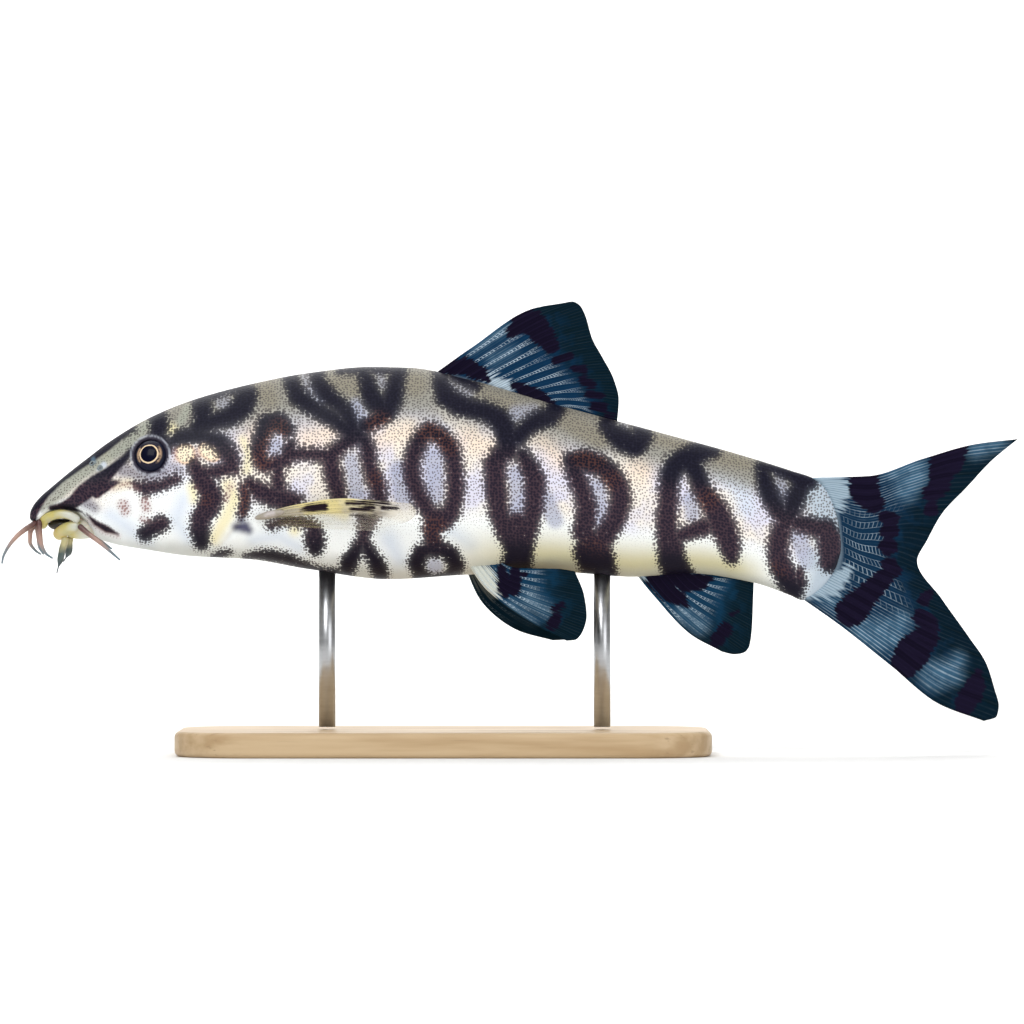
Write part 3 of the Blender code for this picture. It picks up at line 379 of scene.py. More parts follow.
# Coloured patches in the same form
COOL_PATCHES = [
    [(277, 446, 8), (279, 453, 8)], [(434, 458, 10), (436, 497, 9)], [(516, 472, 8), (517, 512, 8)],
    [(597, 486, 9), (599, 520, 9)], [(357, 406, 7), (362, 418, 7)], [(352, 460, 8), (358, 492, 9)],
    [(435, 566, 9)], [(453, 384, 6), (468, 392, 6)], [(305, 377, 5), (311, 390, 6), (322, 400, 5)],
    [(379, 371, 4), (383, 384, 5)], [(779, 474, 6), (783, 494, 7)], [(797, 536, 9), (808, 562, 9)],
    [(224, 402, 8)], [(516, 414, 8), (534, 410, 6)], [(624, 426, 5)], [(400, 470, 10), (405, 500, 10)],
    [(545, 500, 10), (555, 520, 8)], [(690, 500, 8), (692, 515, 8)],
]
TAN_PATCHES = [
    [(334, 383, 8), (354, 386, 12)], [(650, 436, 7), (684, 446, 6)], [(262, 386, 12), (270, 400, 10)],
    [(415, 385, 12)], [(480, 392, 6), (508, 404, 8)], [(565, 420, 10), (600, 440, 10)],
    [(720, 455, 10), (745, 462, 8)],
]
PEACH_PATCHES = [
    [(250, 440, 10), (265, 412, 8)], [(310, 440, 14), (335, 432, 10)], [(380, 440, 10), (410, 432, 10)],
    [(470, 440, 14), (490, 450, 10)], [(545, 440, 12), (560, 460, 10)], [(640, 470, 14)],
]
GOLD_PATCHES = [
    [(173, 429, 5)], [(195, 488, 6), (196, 500, 4)], [(108, 458, 3)], [(116, 486, 3), (130, 484, 3)],
    [(230, 486, 6), (236, 500, 7), (229, 516, 7), (216, 538, 6)],
    [(244, 440, 3), (250, 454, 4), (248, 470, 4)], [(296, 530, 5)], [(326, 506, 6), (345, 512, 7)],
]
GLOW_SPOTS = [[(187, 454, 11)], [(208, 450, 9), (215, 454, 9)]]
RUST_PATCHES = [
    [(246, 490, 6), (246, 510, 6)], [(430, 432, 12), (450, 445, 10)], [(380, 425, 12)],
    [(434, 530, 14)], [(280, 430, 10), (262, 462, 10)], [(378, 480, 8)], [(592, 552, 14)],
    [(610, 480, 10)], [(708, 500, 10)], [(775, 575, 12)], [(208, 500, 6)],
    [(580, 458, 9), (598, 463, 8)],
]
CHEEK_SPOTS = [
    [(125, 505, 6), (127, 511, 5)], [(147, 502, 5), (148, 508, 5)], [(144, 519, 3), (150, 520, 2)],
    [(113, 489, 2), (127, 484, 3), (140, 489, 2)], [(200, 487, 3)], [(232, 487, 3), (228, 500, 2)],
    [(199, 452, 3), (200, 458, 2)], [(176, 450, 2), (177, 460, 2)],
    [(90, 521, 2), (104, 530, 3), (119, 536, 2)],
]
PALE_STRIPES = [
    [(43, 508, 4), (60, 493, 7), (75, 480, 7), (88, 471, 6), (101, 463, 5), (112, 455, 5),
     (126, 445, 6), (140, 433, 6), (149, 423, 4)],
    [(188, 409, 4), (182, 422, 4)],
]
LILAC_PATCHES = [
    [(125, 470, 8), (150, 477, 6), (166, 472, 6)], [(88, 502, 7), (96, 508, 5)], [(216, 465, 2)],
    [(173, 466, 3), (182, 470, 3)],
]
CHEEK_TINTS = [
    [(112, 515, 6), (130, 528, 7), (150, 545, 5)], [(185, 500, 5), (178, 520, 7), (190, 540, 5)],
    [(255, 540, 5), (280, 536, 6), (300, 548, 6)], [(390, 540, 8), (400, 560, 8)],
    [(450, 530, 6), (470, 545, 8)], [(722, 474, 10), (738, 482, 14), (746, 508, 8)],
]
# Painted shadow: a dark grey wedge on the skin beneath the pectoral fin's base, at the end of the gill
# opening
PECTORAL_SHADOW_STROKES = [[(238, 527, 4), (246, 527, 6), (250, 530, 4)], [(243, 520, 4)]]
NOSTRIL_BLUE = [[(92, 455, 2), (95, 462, 2)]]
NOSTRIL_WHITE = [[(99, 470, 1), (105, 465, 3)]]

# The skin's dots: the spacing of their middles
DOT_SPACING = 0.35

# Zones of the skin's colours, each between the two x or levels where it fades in
CHEEK_FRONT = (-52.0, -46.0)
CHEEK_REAR = (-33.0, -36.0)
CHEEK_TOP = (0.62, 0.4)
YELLOW_FRONT = (-12.0, 4.0)
YELLOW_REAR = (33.0, 26.0)
YELLOW_TOP = (0.3, 0.07)
SPECKLE_LEVELS = (0.1, 0.45)
SNOUT_CALM = (-44.5, -48.0)
STALK_END = (35.0, 38.0)
STALK_MIDDLE = 21.0

# Each kind of patch with the softness of its edges
SKIN_PATCHES = {
    "cool": (COOL_PATCHES, 0.5), "tan": (TAN_PATCHES, 0.8), "peach": (PEACH_PATCHES, 1.5),
    "gold": (GOLD_PATCHES, 0.7), "rust": (RUST_PATCHES, 0.8), "pale": (PALE_STRIPES, 0.4),
    "tint": (CHEEK_TINTS, 1.2), "freckles": (CHEEK_SPOTS, 0.5), "lilac": (LILAC_PATCHES, 0.6),
    # The pectoral shadow patch is painted shadow, not a colour of the skin
    "pectoral_shadow": (PECTORAL_SHADOW_STROKES, 0.5),
}

# Fine folds and the soft swelling of the cheek, in the same form, and their depth and height
HEAD_FOLDS = [
    [(113, 479, 1), (135, 488, 1), (160, 487, 1), (176, 478, 1)],
    [(84, 520, 1), (100, 527, 1), (122, 537, 1)], [(92, 531, 1), (110, 538, 1)],
]
FOLD_DEPTH = 0.16
FOLD_WIDTH = 0.25
CHEEK_SWELLS = [[(118, 500, 4), (150, 512, 8), (185, 515, 6)]]
CHEEK_SWELL = 0.12

# Dark bands and pale windows of the fins in the same form
DORSAL_DARK = [
    [(440, 372, 4), (452, 367, 8), (466, 366, 9), (480, 374, 8), (488, 380, 3)],
    [(511, 333, 5), (520, 324, 10), (532, 322, 13), (542, 334, 12), (551, 345, 9)],
    [(556, 360, 5), (569, 356, 5)], [(574, 369, 4), (584, 370, 5)], [(583, 381, 5), (592, 384, 5)],
    [(589, 394, 5), (600, 396, 5)], [(594, 407, 5), (604, 408, 5)], [(606, 416, 4), (614, 417, 3)],
    [(514, 385, 4), (525, 391, 8), (540, 398, 8), (554, 406, 4)],
]
DORSAL_STEEL = [[(474, 347, 4), (490, 336, 5), (506, 328, 4)], [(494, 360, 5), (512, 350, 3)]]
DORSAL_ROOT = [[(492, 381, 6), (506, 386, 6)]]
ANAL_DARK = [
    [(654, 580, 8), (668, 592, 10), (680, 598, 8), (686, 606, 3)],
    [(668, 576, 8), (685, 582, 11), (700, 582, 9), (710, 578, 4)],
    [(726, 628, 7), (717, 640, 7), (714, 646, 5)], [(732, 614, 3), (738, 612, 2)],
]
ANAL_STEEL = [[(684, 612, 6), (700, 625, 6)]]
ANAL_ROOT = [[(632, 576, 6), (645, 574, 5)]]
CAUDAL_DARK = [
    [(864, 470, 15), (864, 490, 15), (874, 504, 11)], [(890, 520, 10), (884, 516, 7)], [(889, 531, 10)],
    [(888, 547, 10)], [(890, 566, 10), (896, 572, 6)], [(952, 446, 16), (946, 462, 17), (939, 478, 11)],
    [(932, 494, 10), (940, 486, 10)], [(931, 509, 8)],
    [(850, 612, 15), (856, 606, 16), (870, 592, 12), (884, 578, 10)],
    [(905, 664, 15), (914, 650, 17), (926, 637, 14)], [(922, 618, 10), (932, 626, 8)],
    [(924, 600, 7), (930, 592, 4)], [(966, 702, 12), (963, 712, 8)],
    [(970, 698, 11), (976, 684, 9), (978, 674, 5)],
]
CAUDAL_STEEL = [
    [(892, 460, 16), (912, 474, 16), (906, 490, 10)], [(976, 448, 9), (1000, 443, 6)],
    [(866, 634, 14), (888, 634, 15), (900, 622, 9)], [(934, 676, 13), (950, 672, 12), (958, 660, 6)],
    [(824, 596, 7), (838, 604, 6)],
]
CAUDAL_ROOT = [
    [(818, 484, 10), (836, 490, 14)], [(838, 506, 5)], [(810, 590, 10), (830, 586, 12), (846, 572, 6)],
]
PELVIC_DARK = [
    [(502, 570, 5), (506, 586, 9), (506, 594, 4)], [(516, 570, 6), (514, 588, 8)], [(524, 574, 4)],
    [(552, 624, 6), (556, 618, 6)], [(555, 608, 4), (562, 604, 4)],
]
PELVIC_STEEL = [[(512, 606, 4), (530, 620, 4)], [(530, 598, 7), (545, 610, 5)]]
PELVIC_ROOT = [[(470, 566, 8), (484, 578, 10), (494, 592, 6)]]
PECTORAL_DARK = [
    [(303, 510, 1), (311, 508, 4), (326, 507, 4)], [(349, 503, 2), (366, 502, 3), (390, 503, 2)],
    [(353, 509, 2), (374, 508, 3)], [(384, 508, 2), (398, 508, 2)], [(352, 515, 1), (376, 516, 2)],
]
PECTORAL_STEEL = [[(348, 513, 4), (386, 514, 4)]]
PECTORAL_ROOT_PATCH = [[(262, 518, 7), (290, 512, 6), (302, 512, 3)]]


# Curves and the body's skin


def smooth_curve(knots, places):
    """Values at places on a smooth curve through (place, value) knots that doesn't overshoot."""
    at, value = np.array(knots, float).T
    rise = np.diff(value) / np.diff(at)
    slope = np.concatenate([rise[:1], np.zeros(len(rise) - 1), rise[-1:]])
    product = rise[:-1] * rise[1:]
    total = np.where(product > 0, rise[:-1] + rise[1:], 1.0)
    slope[1:-1] = np.where(product > 0, 2 * product / total, 0.0)
    places = np.clip(places, at[0], at[-1])
    step = np.clip(np.searchsorted(at, places, side="right") - 1, 0, len(rise) - 1)
    width = at[step + 1] - at[step]
    t = (places - at[step]) / width
    return (
        value[step] * (1 + 2 * t) * (1 - t) ** 2
        + slope[step] * width * t * (1 - t) ** 2
        + value[step + 1] * t * t * (3 - 2 * t)
        + slope[step + 1] * width * t * t * (t - 1)
    )


def along_curve(points, shares):
    """Points at shares of the length of a smooth curve through points."""
    points = np.array(points, float)
    lengths = np.concatenate([[0.0], np.cumsum(np.linalg.norm(np.diff(points, axis=0), axis=1))])
    goals = np.asarray(shares) * lengths[-1]
    axes = [smooth_curve(np.stack([lengths, axis], axis=1), goals) for axis in points.T]
    return np.stack(axes, axis=1)


def ramp(start, end, value):
    share = np.clip((value - start) / (end - start), 0.0, 1.0)
    return share * share * (3 - 2 * share)


def bell(width, value):
    return np.exp(-((value / width) ** 2))


def body_turn(x):
    """The place along the body as an angle, 0 at the snout and pi at the tail's end."""
    share = (np.asarray(x, float) - SNOUT_X) / (TAIL_END_X - SNOUT_X)
    return np.arccos(1 - 2 * np.clip(share, 0.0, 1.0))


def on_line(line, x):
    """Values at x of a line along the body, rounded at the snout and the tail's end."""
    places, values = np.array(line, float).T
    return smooth_curve(np.stack([body_turn(places), values], axis=1), body_turn(x))


def gill_rim_x(height):
    return smooth_curve(sorted((level, x) for x, level in GILL_RIM), height)


def skin_points(x, turn):
    """Points of the plain skin; turn is 0 on the back and pi on the belly."""
    x, turn = np.broadcast_arrays(np.asarray(x, float), np.asarray(turn, float))
    top = on_line(BACK_LINE, x)
    bottom = on_line(BELLY_LINE, x)
    widest = bottom + (top - bottom) * smooth_curve(WIDEST_LEVEL, x)
    up = np.cos(turn)
    out = np.sin(turn)
    upper = up >= 0
    squareness = np.where(upper, smooth_curve(BACK_SQUARENESS, x), smooth_curve(BELLY_SQUARENESS, x))
    power = 2 / squareness
    reach = np.where(upper, top - widest, widest - bottom)
    height = widest + np.sign(up) * reach * np.abs(up) ** power
    y = -np.sign(out) * on_line(HALF_WIDTHS, x) * np.abs(out) ** power
    return np.stack([x, y, height], axis=-1)


def skin_normal(x, turn):
    """The way the skin faces at one point, as a Vector."""
    step = 0.02
    along = skin_points(x + step, turn) - skin_points(x - step, turn)
    around = skin_points(x, turn + step) - skin_points(x, turn - step)
    facing = Vector(np.cross(along, around)).normalized()
    return facing if facing.y * float(skin_points(x, turn)[1]) > 0 else -facing


def girth_from_side(x, turn):
    """How far round the skin points lie from the side line, in millimetres, less towards the belly."""
    reach = np.abs((turn + math.pi) % (2 * math.pi) - math.pi) - math.pi / 2
    length = np.zeros(len(x))
    before = skin_points(x, np.full(len(x), math.pi / 2))
    for step in range(1, GIRTH_STEPS + 1):
        after = skin_points(x, math.pi / 2 + reach * step / GIRTH_STEPS)
        length += np.linalg.norm(after - before, axis=1)
        before = after
    return -np.sign(reach) * length


def turn_at_height(x, height):
    """The turn at which the left flank passes through a height."""
    turns = np.linspace(0.0, math.pi, 721)
    levels = skin_points(np.full(turns.shape, x), turns)[:, 2]
    return float(np.interp(height, levels[::-1], turns[::-1]))


def face_place(place, side, lift=0.0):
    """A point of the body's side, lifted off the skin, and the way the skin faces there."""
    x, height = place
    turn = turn_at_height(x, height)
    facing = skin_normal(x, turn)
    point = Vector(skin_points(x, turn)) + facing * lift
    return Vector((point.x, -side * point.y, point.z)), Vector((facing.x, -side * facing.y, facing.z))


def off_skin(x, turn, distance):
    return tuple(Vector(skin_points(x, turn)) + skin_normal(x, turn) * distance)


def stroke_depth(places, strokes):
    """How deep in millimetres (x, height) places lie inside the nearest of a set of strokes."""
    depth = np.full(len(places), -9.0)
    for stroke in strokes:
        across, down, half = np.array(stroke, float).T
        line = np.stack([across - MIDDLE_PIXEL, TAIL_TIP_PIXEL - down, half], axis=1) * PIXEL
        if len(line) == 1:
            line = np.repeat(line, 2, axis=0)
        for start, end in zip(line, line[1:]):
            way = end[:2] - start[:2]
            share = np.clip((places - start[:2]) @ way / max(way @ way, 1e-9), 0.0, 1.0)
            off = places - start[:2] - share[:, None] * way
            inside = start[2] + (end[2] - start[2]) * share - np.hypot(off[:, 0], off[:, 1])
            depth = np.maximum(depth, inside)
    return depth


# Meshes


def grid_numbers(values):
    """For each value, its place in the sorted list of different values, and their count."""
    kinds, numbers = np.unique(np.round(values, 5), return_inverse=True)
    return numbers.reshape(-1), len(kinds)


def read_places(mesh):
    places = np.zeros(len(mesh.vertices) * 3)
    mesh.vertices.foreach_get("co", places)
    return places.reshape(-1, 3)


def write_places(mesh, places):
    """Moves a mesh's points to places of the fish, given in millimetres."""
    lifted = (np.asarray(places) + np.array([0.0, 0.0, TAIL_CLEARANCE])) * MM
    mesh.vertices.foreach_set("co", lifted.reshape(-1))
    mesh.update()


def add_attribute(mesh, name, values):
    layer = mesh.attributes.new(name, "FLOAT", "POINT")
    layer.data.foreach_set("value", np.asarray(values, np.float32))


def mesh_of(name, shape):
    """The mesh of a bmesh, which is then done with."""
    mesh = bpy.data.meshes.new(name)
    shape.to_mesh(mesh)
    shape.free()
    return mesh


def in_scene(name, mesh, paint):
    """An object at the origin with a mesh and its paint."""
    piece = bpy.data.objects.new(name, mesh)
    piece.data.materials.append(paint.material)
    bpy.context.scene.collection.objects.link(piece)
    return piece


def finished(name, mesh, paint, nodes=(), smooth=True):
    """A closed piece, facing outward, that rides on the one body and may stand for CAD nodes."""
    shape = bmesh.new()
    shape.from_mesh(mesh)
    bmesh.ops.recalc_face_normals(shape, faces=shape.faces)
    if shape.calc_volume(signed=True) < 0:
        bmesh.ops.reverse_faces(shape, faces=shape.faces)
    shape.to_mesh(mesh)
    shape.free()
    if smooth:
        mesh.shade_smooth()
    piece = in_scene(name, mesh, paint)
    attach(piece, "root")
    if nodes:
        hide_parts(*nodes)
    return piece


def ball_mesh(name, sides, sections):
    """A unit ball, with its points' polar shares, 0 to 1, and their turns."""
    shape = bmesh.new()
    bmesh.ops.create_uvsphere(shape, u_segments=sides, v_segments=sections, radius=1.0)
    mesh = mesh_of(name, shape)
    unit = read_places(mesh)
    share = np.arccos(np.clip(unit[:, 2], -1.0, 1.0)) / math.pi
    turn = np.arctan2(unit[:, 1], unit[:, 0]) % (2 * math.pi)
    return mesh, share, turn


def tube_mesh(name, path, radius_at, sides, sections, flatness=1.0):
    """A tube with round ends along a path; radius_at gives its radius at shares of its length."""
    mesh, share, turn = ball_mesh(name, sides, sections)
    numbers, count = grid_numbers(share)
    shares = np.linspace(0.0, 1.0, count)
    centres = along_curve(path, shares)
    ways = np.gradient(centres, axis=0)
    ways /= np.linalg.norm(ways, axis=1)[:, None]
    across = np.cross(ways, np.array([0.0, 1.0, 0.15]))
    across /= np.linalg.norm(across, axis=1)[:, None]
    up = np.cross(ways, across)
    length = np.linalg.norm(np.diff(centres, axis=0), axis=1).sum()
    radii = radius_at(shares)
    from_end = np.minimum(shares, 1 - shares) * length
    rounding = np.clip(from_end / np.maximum(radii, 1e-6), 0.0, 1.0)
    radii = radii * np.sqrt(1 - (1 - rounding) ** 2)
    reach = radii[numbers][:, None]
    write_places(
        mesh,
        centres[numbers]
        + reach * np.cos(turn)[:, None] * across[numbers]
        + reach * flatness * np.sin(turn)[:, None] * up[numbers],
    )
    add_attribute(mesh, "along", shares[numbers])
    return mesh


def oval_mesh(name, centre, radii, facing, sides=48, sections=32):
    """A flattened ball whose third radius lies along the way it faces."""
    mesh, share, turn = ball_mesh(name, sides, sections)
    turned = np.array(Vector(facing).to_track_quat("Z", "Y").to_matrix())
    places = read_places(mesh) * np.array(radii)
    write_places(mesh, places @ turned.T + np.array(centre))
    add_attribute(mesh, "from_axis", np.hypot(places[:, 0], places[:, 1]))
    add_attribute(mesh, "sideways", np.abs(places[:, 0]))
    return mesh


# Materials


def tone(red, green, blue):
    """A colour from the photograph's 0 to 255 values, as the shader's linear ones."""
    parts = [value / 255 for value in (red, green, blue)]
    linear = [
        part / 12.92 if part <= 0.04045 else ((part + 0.055) / 1.055) ** 2.4 for part in parts
    ]
    return (*linear, 1.0)


class Wire:
    """A socket's value, on which Python's sums add Math nodes."""

    def __init__(self, paint, socket):
        self.paint = paint
        self.socket = socket

    def __add__(self, other):
        return self.paint.math("ADD", self, other)

    __radd__ = __add__

    def __sub__(self, other):
        return self.paint.math("SUBTRACT", self, other)

    def __rsub__(self, other):
        return self.paint.math("SUBTRACT", other, self)

    def __mul__(self, other):
        return self.paint.math("MULTIPLY", self, other)

    __rmul__ = __mul__

    def __abs__(self):
        return self.paint.math("ABSOLUTE", self)

    def fraction(self):
        return self.paint.math("FRACT", self)

    def at_least(self, other):
        return self.paint.math("MAXIMUM", self, other)

    def rising(self, start, end):
        """A smooth rise from 0 at start to 1 at end."""
        made = self.paint.node(
            "ShaderNodeMapRange",
            {"interpolation_type": "SMOOTHSTEP"},
            {"Value": self, "From Min": start, "From Max": end},
        )
        return Wire(self.paint, made.outputs[0])


class Paint:
    """A material whose Principled shader is fed by expressions."""

    def __init__(self, material_name, **constants):
        self.material = bpy.data.materials.new(material_name)
        self.material.use_nodes = True
        self.tree = self.material.node_tree
        self.shader = self.tree.nodes["Principled BSDF"]
        for name, value in constants.items():
            socket = name.replace("_", " ").title().replace("Ior", "IOR")
            self.shader.inputs[socket].default_value = value
        self.place = self.node("ShaderNodeTexCoord").outputs["Object"]

    def node(self, kind, settings=None, sockets=None):
        made = self.tree.nodes.new(kind)
        for name, value in (settings or {}).items():
            setattr(made, name, value)
        for key, value in (sockets or {}).items():
            self.feed(made.inputs[key], value)
        return made

    def feed(self, socket, value):
        if isinstance(value, Wire):
            value = value.socket
        if isinstance(value, bpy.types.NodeSocket):
            self.tree.links.new(value, socket)
        else:
            socket.default_value = value

    def math(self, operation, *values):
        made = self.node("ShaderNodeMath", {"operation": operation}, dict(enumerate(values)))
        return Wire(self, made.outputs[0])

    def attribute(self, name):
        return Wire(self, self.node("ShaderNodeAttribute", {"attribute_name": name}).outputs["Fac"])

    def noise(self, size, detail=2.0, roughness=0.5):
        """Soft noise of a size in millimetres, about 0 to 1."""
        sockets = {
            "Vector": self.place, "Scale": 1000 / size, "Detail": detail, "Roughness": roughness,
        }
        return Wire(self, self.node("ShaderNodeTexNoise", {}, sockets).outputs[0])

    def stretched_noise(self, size, stretch, detail=2.0):
        """Noise drawn out by a factor along each axis."""
        factors = {0: self.place, 1: stretch}
        drawn = self.node("ShaderNodeVectorMath", {"operation": "MULTIPLY"}, factors)
        sockets = {"Vector": drawn.outputs[0], "Scale": 1000 / size, "Detail": detail}
        return Wire(self, self.node("ShaderNodeTexNoise", {}, sockets).outputs[0])

    def cells(self, size):
        """The distance from the middle of the nearest cell, in cells of a size in millimetres."""
        sockets = {"Vector": self.place, "Scale": 1000 / size}
        return Wire(self, self.node("ShaderNodeTexVoronoi", {}, sockets).outputs[0])

    def skin_dots(self, size):
        """The distance from the middle of the nearest dot on the unrolled skin, in dots' spacings."""
        unrolled = {0: self.attribute("along_mm"), 1: self.attribute("round_mm")}
        flat = self.node("ShaderNodeCombineXYZ", {}, unrolled)
        sockets = {"Vector": flat.outputs[0], "Scale": 1 / size, "Randomness": 0.7}
        made = self.node("ShaderNodeTexVoronoi", {"voronoi_dimensions": "2D"}, sockets)
        return Wire(self, made.outputs[0])

    def own_value(self, number):
        """A random value, 0 to 1, that stays the same from one whole number to the next."""
        whole = self.math("FLOOR", number)
        made = self.node("ShaderNodeTexWhiteNoise", {"noise_dimensions": "1D"}, {"W": whole})
        return Wire(self, made.outputs[0])

    def mix(self, share, below, above):
        made = self.node("ShaderNodeMix", {"data_type": "RGBA"}, {0: share, 6: below, 7: above})
        return made.outputs[2]

    def layers(self, colour, *coats):
        """A colour with others laid over it in turn, each given as (share, colour)."""
        for share, above in coats:
            colour = self.mix(share, colour, above)
        return colour

    def bump(self, height, distance, strength=1.0):
        sockets = {"Strength": strength, "Distance": distance * MM, "Height": height}
        self.feed(self.shader.inputs["Normal"], self.node("ShaderNodeBump", {}, sockets).outputs[0])

    def colour(self, value):
        self.feed(self.shader.inputs["Base Color"], value)

    def roughness(self, value):
        self.feed(self.shader.inputs["Roughness"], value)


# Colours of the skin and its markings
WHITE = tone(248, 252, 252)
# Painted shade: a darker grey-green laid along the bottom of the belly
PAINTED_BELLY_SHADE = tone(178, 182, 176)
CHEEK_BLUE = tone(214, 224, 238)
FLANK_CREAM = tone(246, 238, 228)
FLANK_LILAC = tone(226, 224, 240)
PEACH = tone(248, 226, 204)
BELLY_YELLOW = tone(206, 200, 160)
BACK_GREY = tone(156, 155, 147)
BACK_TAN = tone(142, 136, 119)
COOL_GREY = tone(166, 172, 197)
STALK_BLUE = tone(186, 199, 211)
ORBIT_LILAC = tone(130, 128, 142)
GOLD_CREAM = tone(244, 234, 188)
GLOW_RIM = tone(226, 188, 150)
GLOW_CORE = tone(255, 238, 208)
STRIPE_PALE = tone(163, 166, 153)
# Painted shadow beneath the pectoral fin's base
PECTORAL_SHADOW_GREY = tone(84, 84, 108)
FRECKLE_PINK = tone(196, 172, 172)
RUST = tone(120, 72, 54)
MARK_NAVY = tone(13, 12, 30)
MARK_INK = tone(34, 26, 42)
MARK_BROWN = tone(84, 62, 70)
MARK_GREY = tone(32, 31, 49)
DOT_BROWN = tone(70, 54, 56)
DOT_GREY = tone(84, 79, 78)
FRECKLE = tone(140, 96, 92)
ORBIT_DARK = tone(54, 50, 64)
ORBIT_RING = tone(176, 180, 192)
NOSTRIL_TUBE_BLUE = tone(92, 118, 138)
NOSTRIL_FLAP_WHITE = tone(210, 220, 232)
# Painted shade of the nostrils' pits: the skin stays flat there and is painted dark
NOSTRIL_PIT_SHADE = tone(28, 28, 40)

# Colours of the small parts of the head
NOSTRIL_RIM_GREY = tone(112, 124, 130)
NOSTRIL_RIM_PALE = tone(146, 156, 158)
LIP_YELLOW = tone(206, 188, 104)
LIP_CREAM = tone(196, 184, 132)
LIP_CORNER = tone(208, 206, 190)
MOUTH_BLACK = tone(10, 10, 6)
MOUTH_BROWN = tone(44, 38, 22)
IRIS_DARK = tone(34, 32, 48)
IRIS_BRONZE = tone(176, 148, 122)
IRIS_RIM = tone(24, 26, 44)
PUPIL_RING = tone(240, 214, 176)
PUPIL_NAVY = tone(4, 6, 30)
BARBEL_RED = tone(80, 46, 46)
BARBEL_PINK = tone(166, 132, 120)
BARBEL_BLUE = tone(92, 112, 124)
CHIN_OLIVE = tone(186, 178, 132)
CHIN_GREY = tone(72, 86, 84)
CHIN_BLUE = tone(44, 60, 72)

# Each fin's colours: root, pale window, membrane, margin, lines of the rays, and dark bands
BLUE_HUES = (
    tone(188, 204, 215), tone(62, 98, 124), tone(13, 54, 82), tone(3, 24, 34),
    tone(206, 226, 240), tone(16, 11, 30),
)
DORSAL_HUES = BLUE_HUES[:2] + (tone(8, 46, 76),) + BLUE_HUES[3:]
CAUDAL_HUES = (
    tone(166, 186, 200), BLUE_HUES[1], tone(12, 44, 70), tone(3, 22, 32), *BLUE_HUES[4:],
)
PELVIC_HUES = (tone(226, 228, 216), *BLUE_HUES[1:])
YELLOW_HUES = (
    tone(176, 168, 154), tone(150, 142, 128), tone(222, 208, 148), tone(236, 228, 212),
    tone(110, 100, 88), tone(36, 26, 30),
)
BAND_RAYS = tone(34, 28, 54)
LOBE_PINK = tone(196, 188, 186)
LOBE_TAN = tone(164, 156, 142)
LOBE_DOTS = tone(110, 96, 96)

# Colours of the stand and the floor
WOOD_PALE = tone(206, 180, 142)
WOOD_GRAIN = tone(182, 152, 112)
WOOD_PORES = tone(138, 108, 76)
STEEL_DARK = tone(176, 178, 182)
STEEL_LIGHT = tone(206, 208, 210)
FLOOR_SHADE = tone(236, 236, 235)
FLOOR_WHITE = tone(240, 240, 239)


def skin_ground(paint, height, soft):
    """The skin between its dots: white below with painted shade along the bottom of the belly, cream
    and lilac on the flank, tan on the back.
    """
    cheek = paint.attribute("cheek")
    glow = paint.attribute("glow")
    return paint.layers(
        FLANK_CREAM,
        (soft.rising(0.42, 0.6), FLANK_LILAC),
        (paint.attribute("peach") * 0.8, PEACH),
        (height.rising(0.4, 0.24).at_least(cheek * 0.8), WHITE),
        (paint.attribute("tint") * 0.8, CHEEK_BLUE),
        (paint.attribute("yellow"), BELLY_YELLOW),
        # painted shade along the bottom of the belly
        (height.rising(0.12, 0.0) * 0.7, PAINTED_BELLY_SHADE),
        (height.rising(0.66, 0.86), BACK_GREY),
        (paint.attribute("tan") * 0.8, BACK_TAN),
        (paint.attribute("cool") * 0.75, COOL_GREY),
        (height.rising(0.8, 1.0) * 0.5, BACK_TAN),
        (paint.attribute("lilac") * 0.8, ORBIT_LILAC),
        (paint.attribute("gold") * 0.85, GOLD_CREAM),
        (glow.rising(0.0, 0.3) * 0.8, GLOW_RIM),
        (glow.rising(0.2, 0.6), GLOW_CORE),
        (paint.attribute("pale") * 0.9, STRIPE_PALE),
        # painted shadow beneath the pectoral fin's base
        (paint.attribute("pectoral_shadow"), PECTORAL_SHADOW_GREY),
        (paint.attribute("tail_end"), STALK_BLUE),
        (paint.attribute("freckles") * 0.55, FRECKLE_PINK),
    )


def dot_reach(paint, height, crowded):
    """How far a dot reaches from its middle: short on pale skin, and nearly to the next in marks."""
    plainer = paint.attribute("gold").at_least(paint.attribute("pale"))
    sparse = paint.attribute("speckle") * (0.24 + 0.06 * height.rising(0.6, 0.85))
    sparse = sparse * (1 - 0.6 * plainer)
    for name, least in (("freckles", 0.42), ("lilac", 0.24), ("pale", 0.24), ("glow", 0.2)):
        sparse = sparse.at_least(paint.attribute(name) * least)
    return sparse * (1 - crowded) + 0.92 * crowded


def dot_colours(paint, height, dots, ragged, crowded):
    """The brown or grey that shows between a mark's dots, and the colour of the dots."""
    under = paint.layers(
        MARK_BROWN, (height.rising(0.55, 0.75), MARK_GREY), (paint.attribute("rust") * 0.7, RUST),
    )
    gaps = dots.rising(0.3, 0.55) * (0.45 + 0.55 * ragged.rising(0.9, 0.0))
    in_mark = paint.layers(
        MARK_INK,
        (height.rising(0.5, 0.72), MARK_NAVY),
        (height.rising(0.22, 0.12) * 0.8, MARK_NAVY),
        (gaps * height.rising(0.08, 0.25), under),
    )
    ink = paint.layers(
        DOT_BROWN,
        (height.rising(0.6, 0.85), DOT_GREY),
        (crowded.rising(0.0, 0.6), in_mark),
        (paint.attribute("freckles") * (1 - crowded), FRECKLE),
    )
    return under, ink


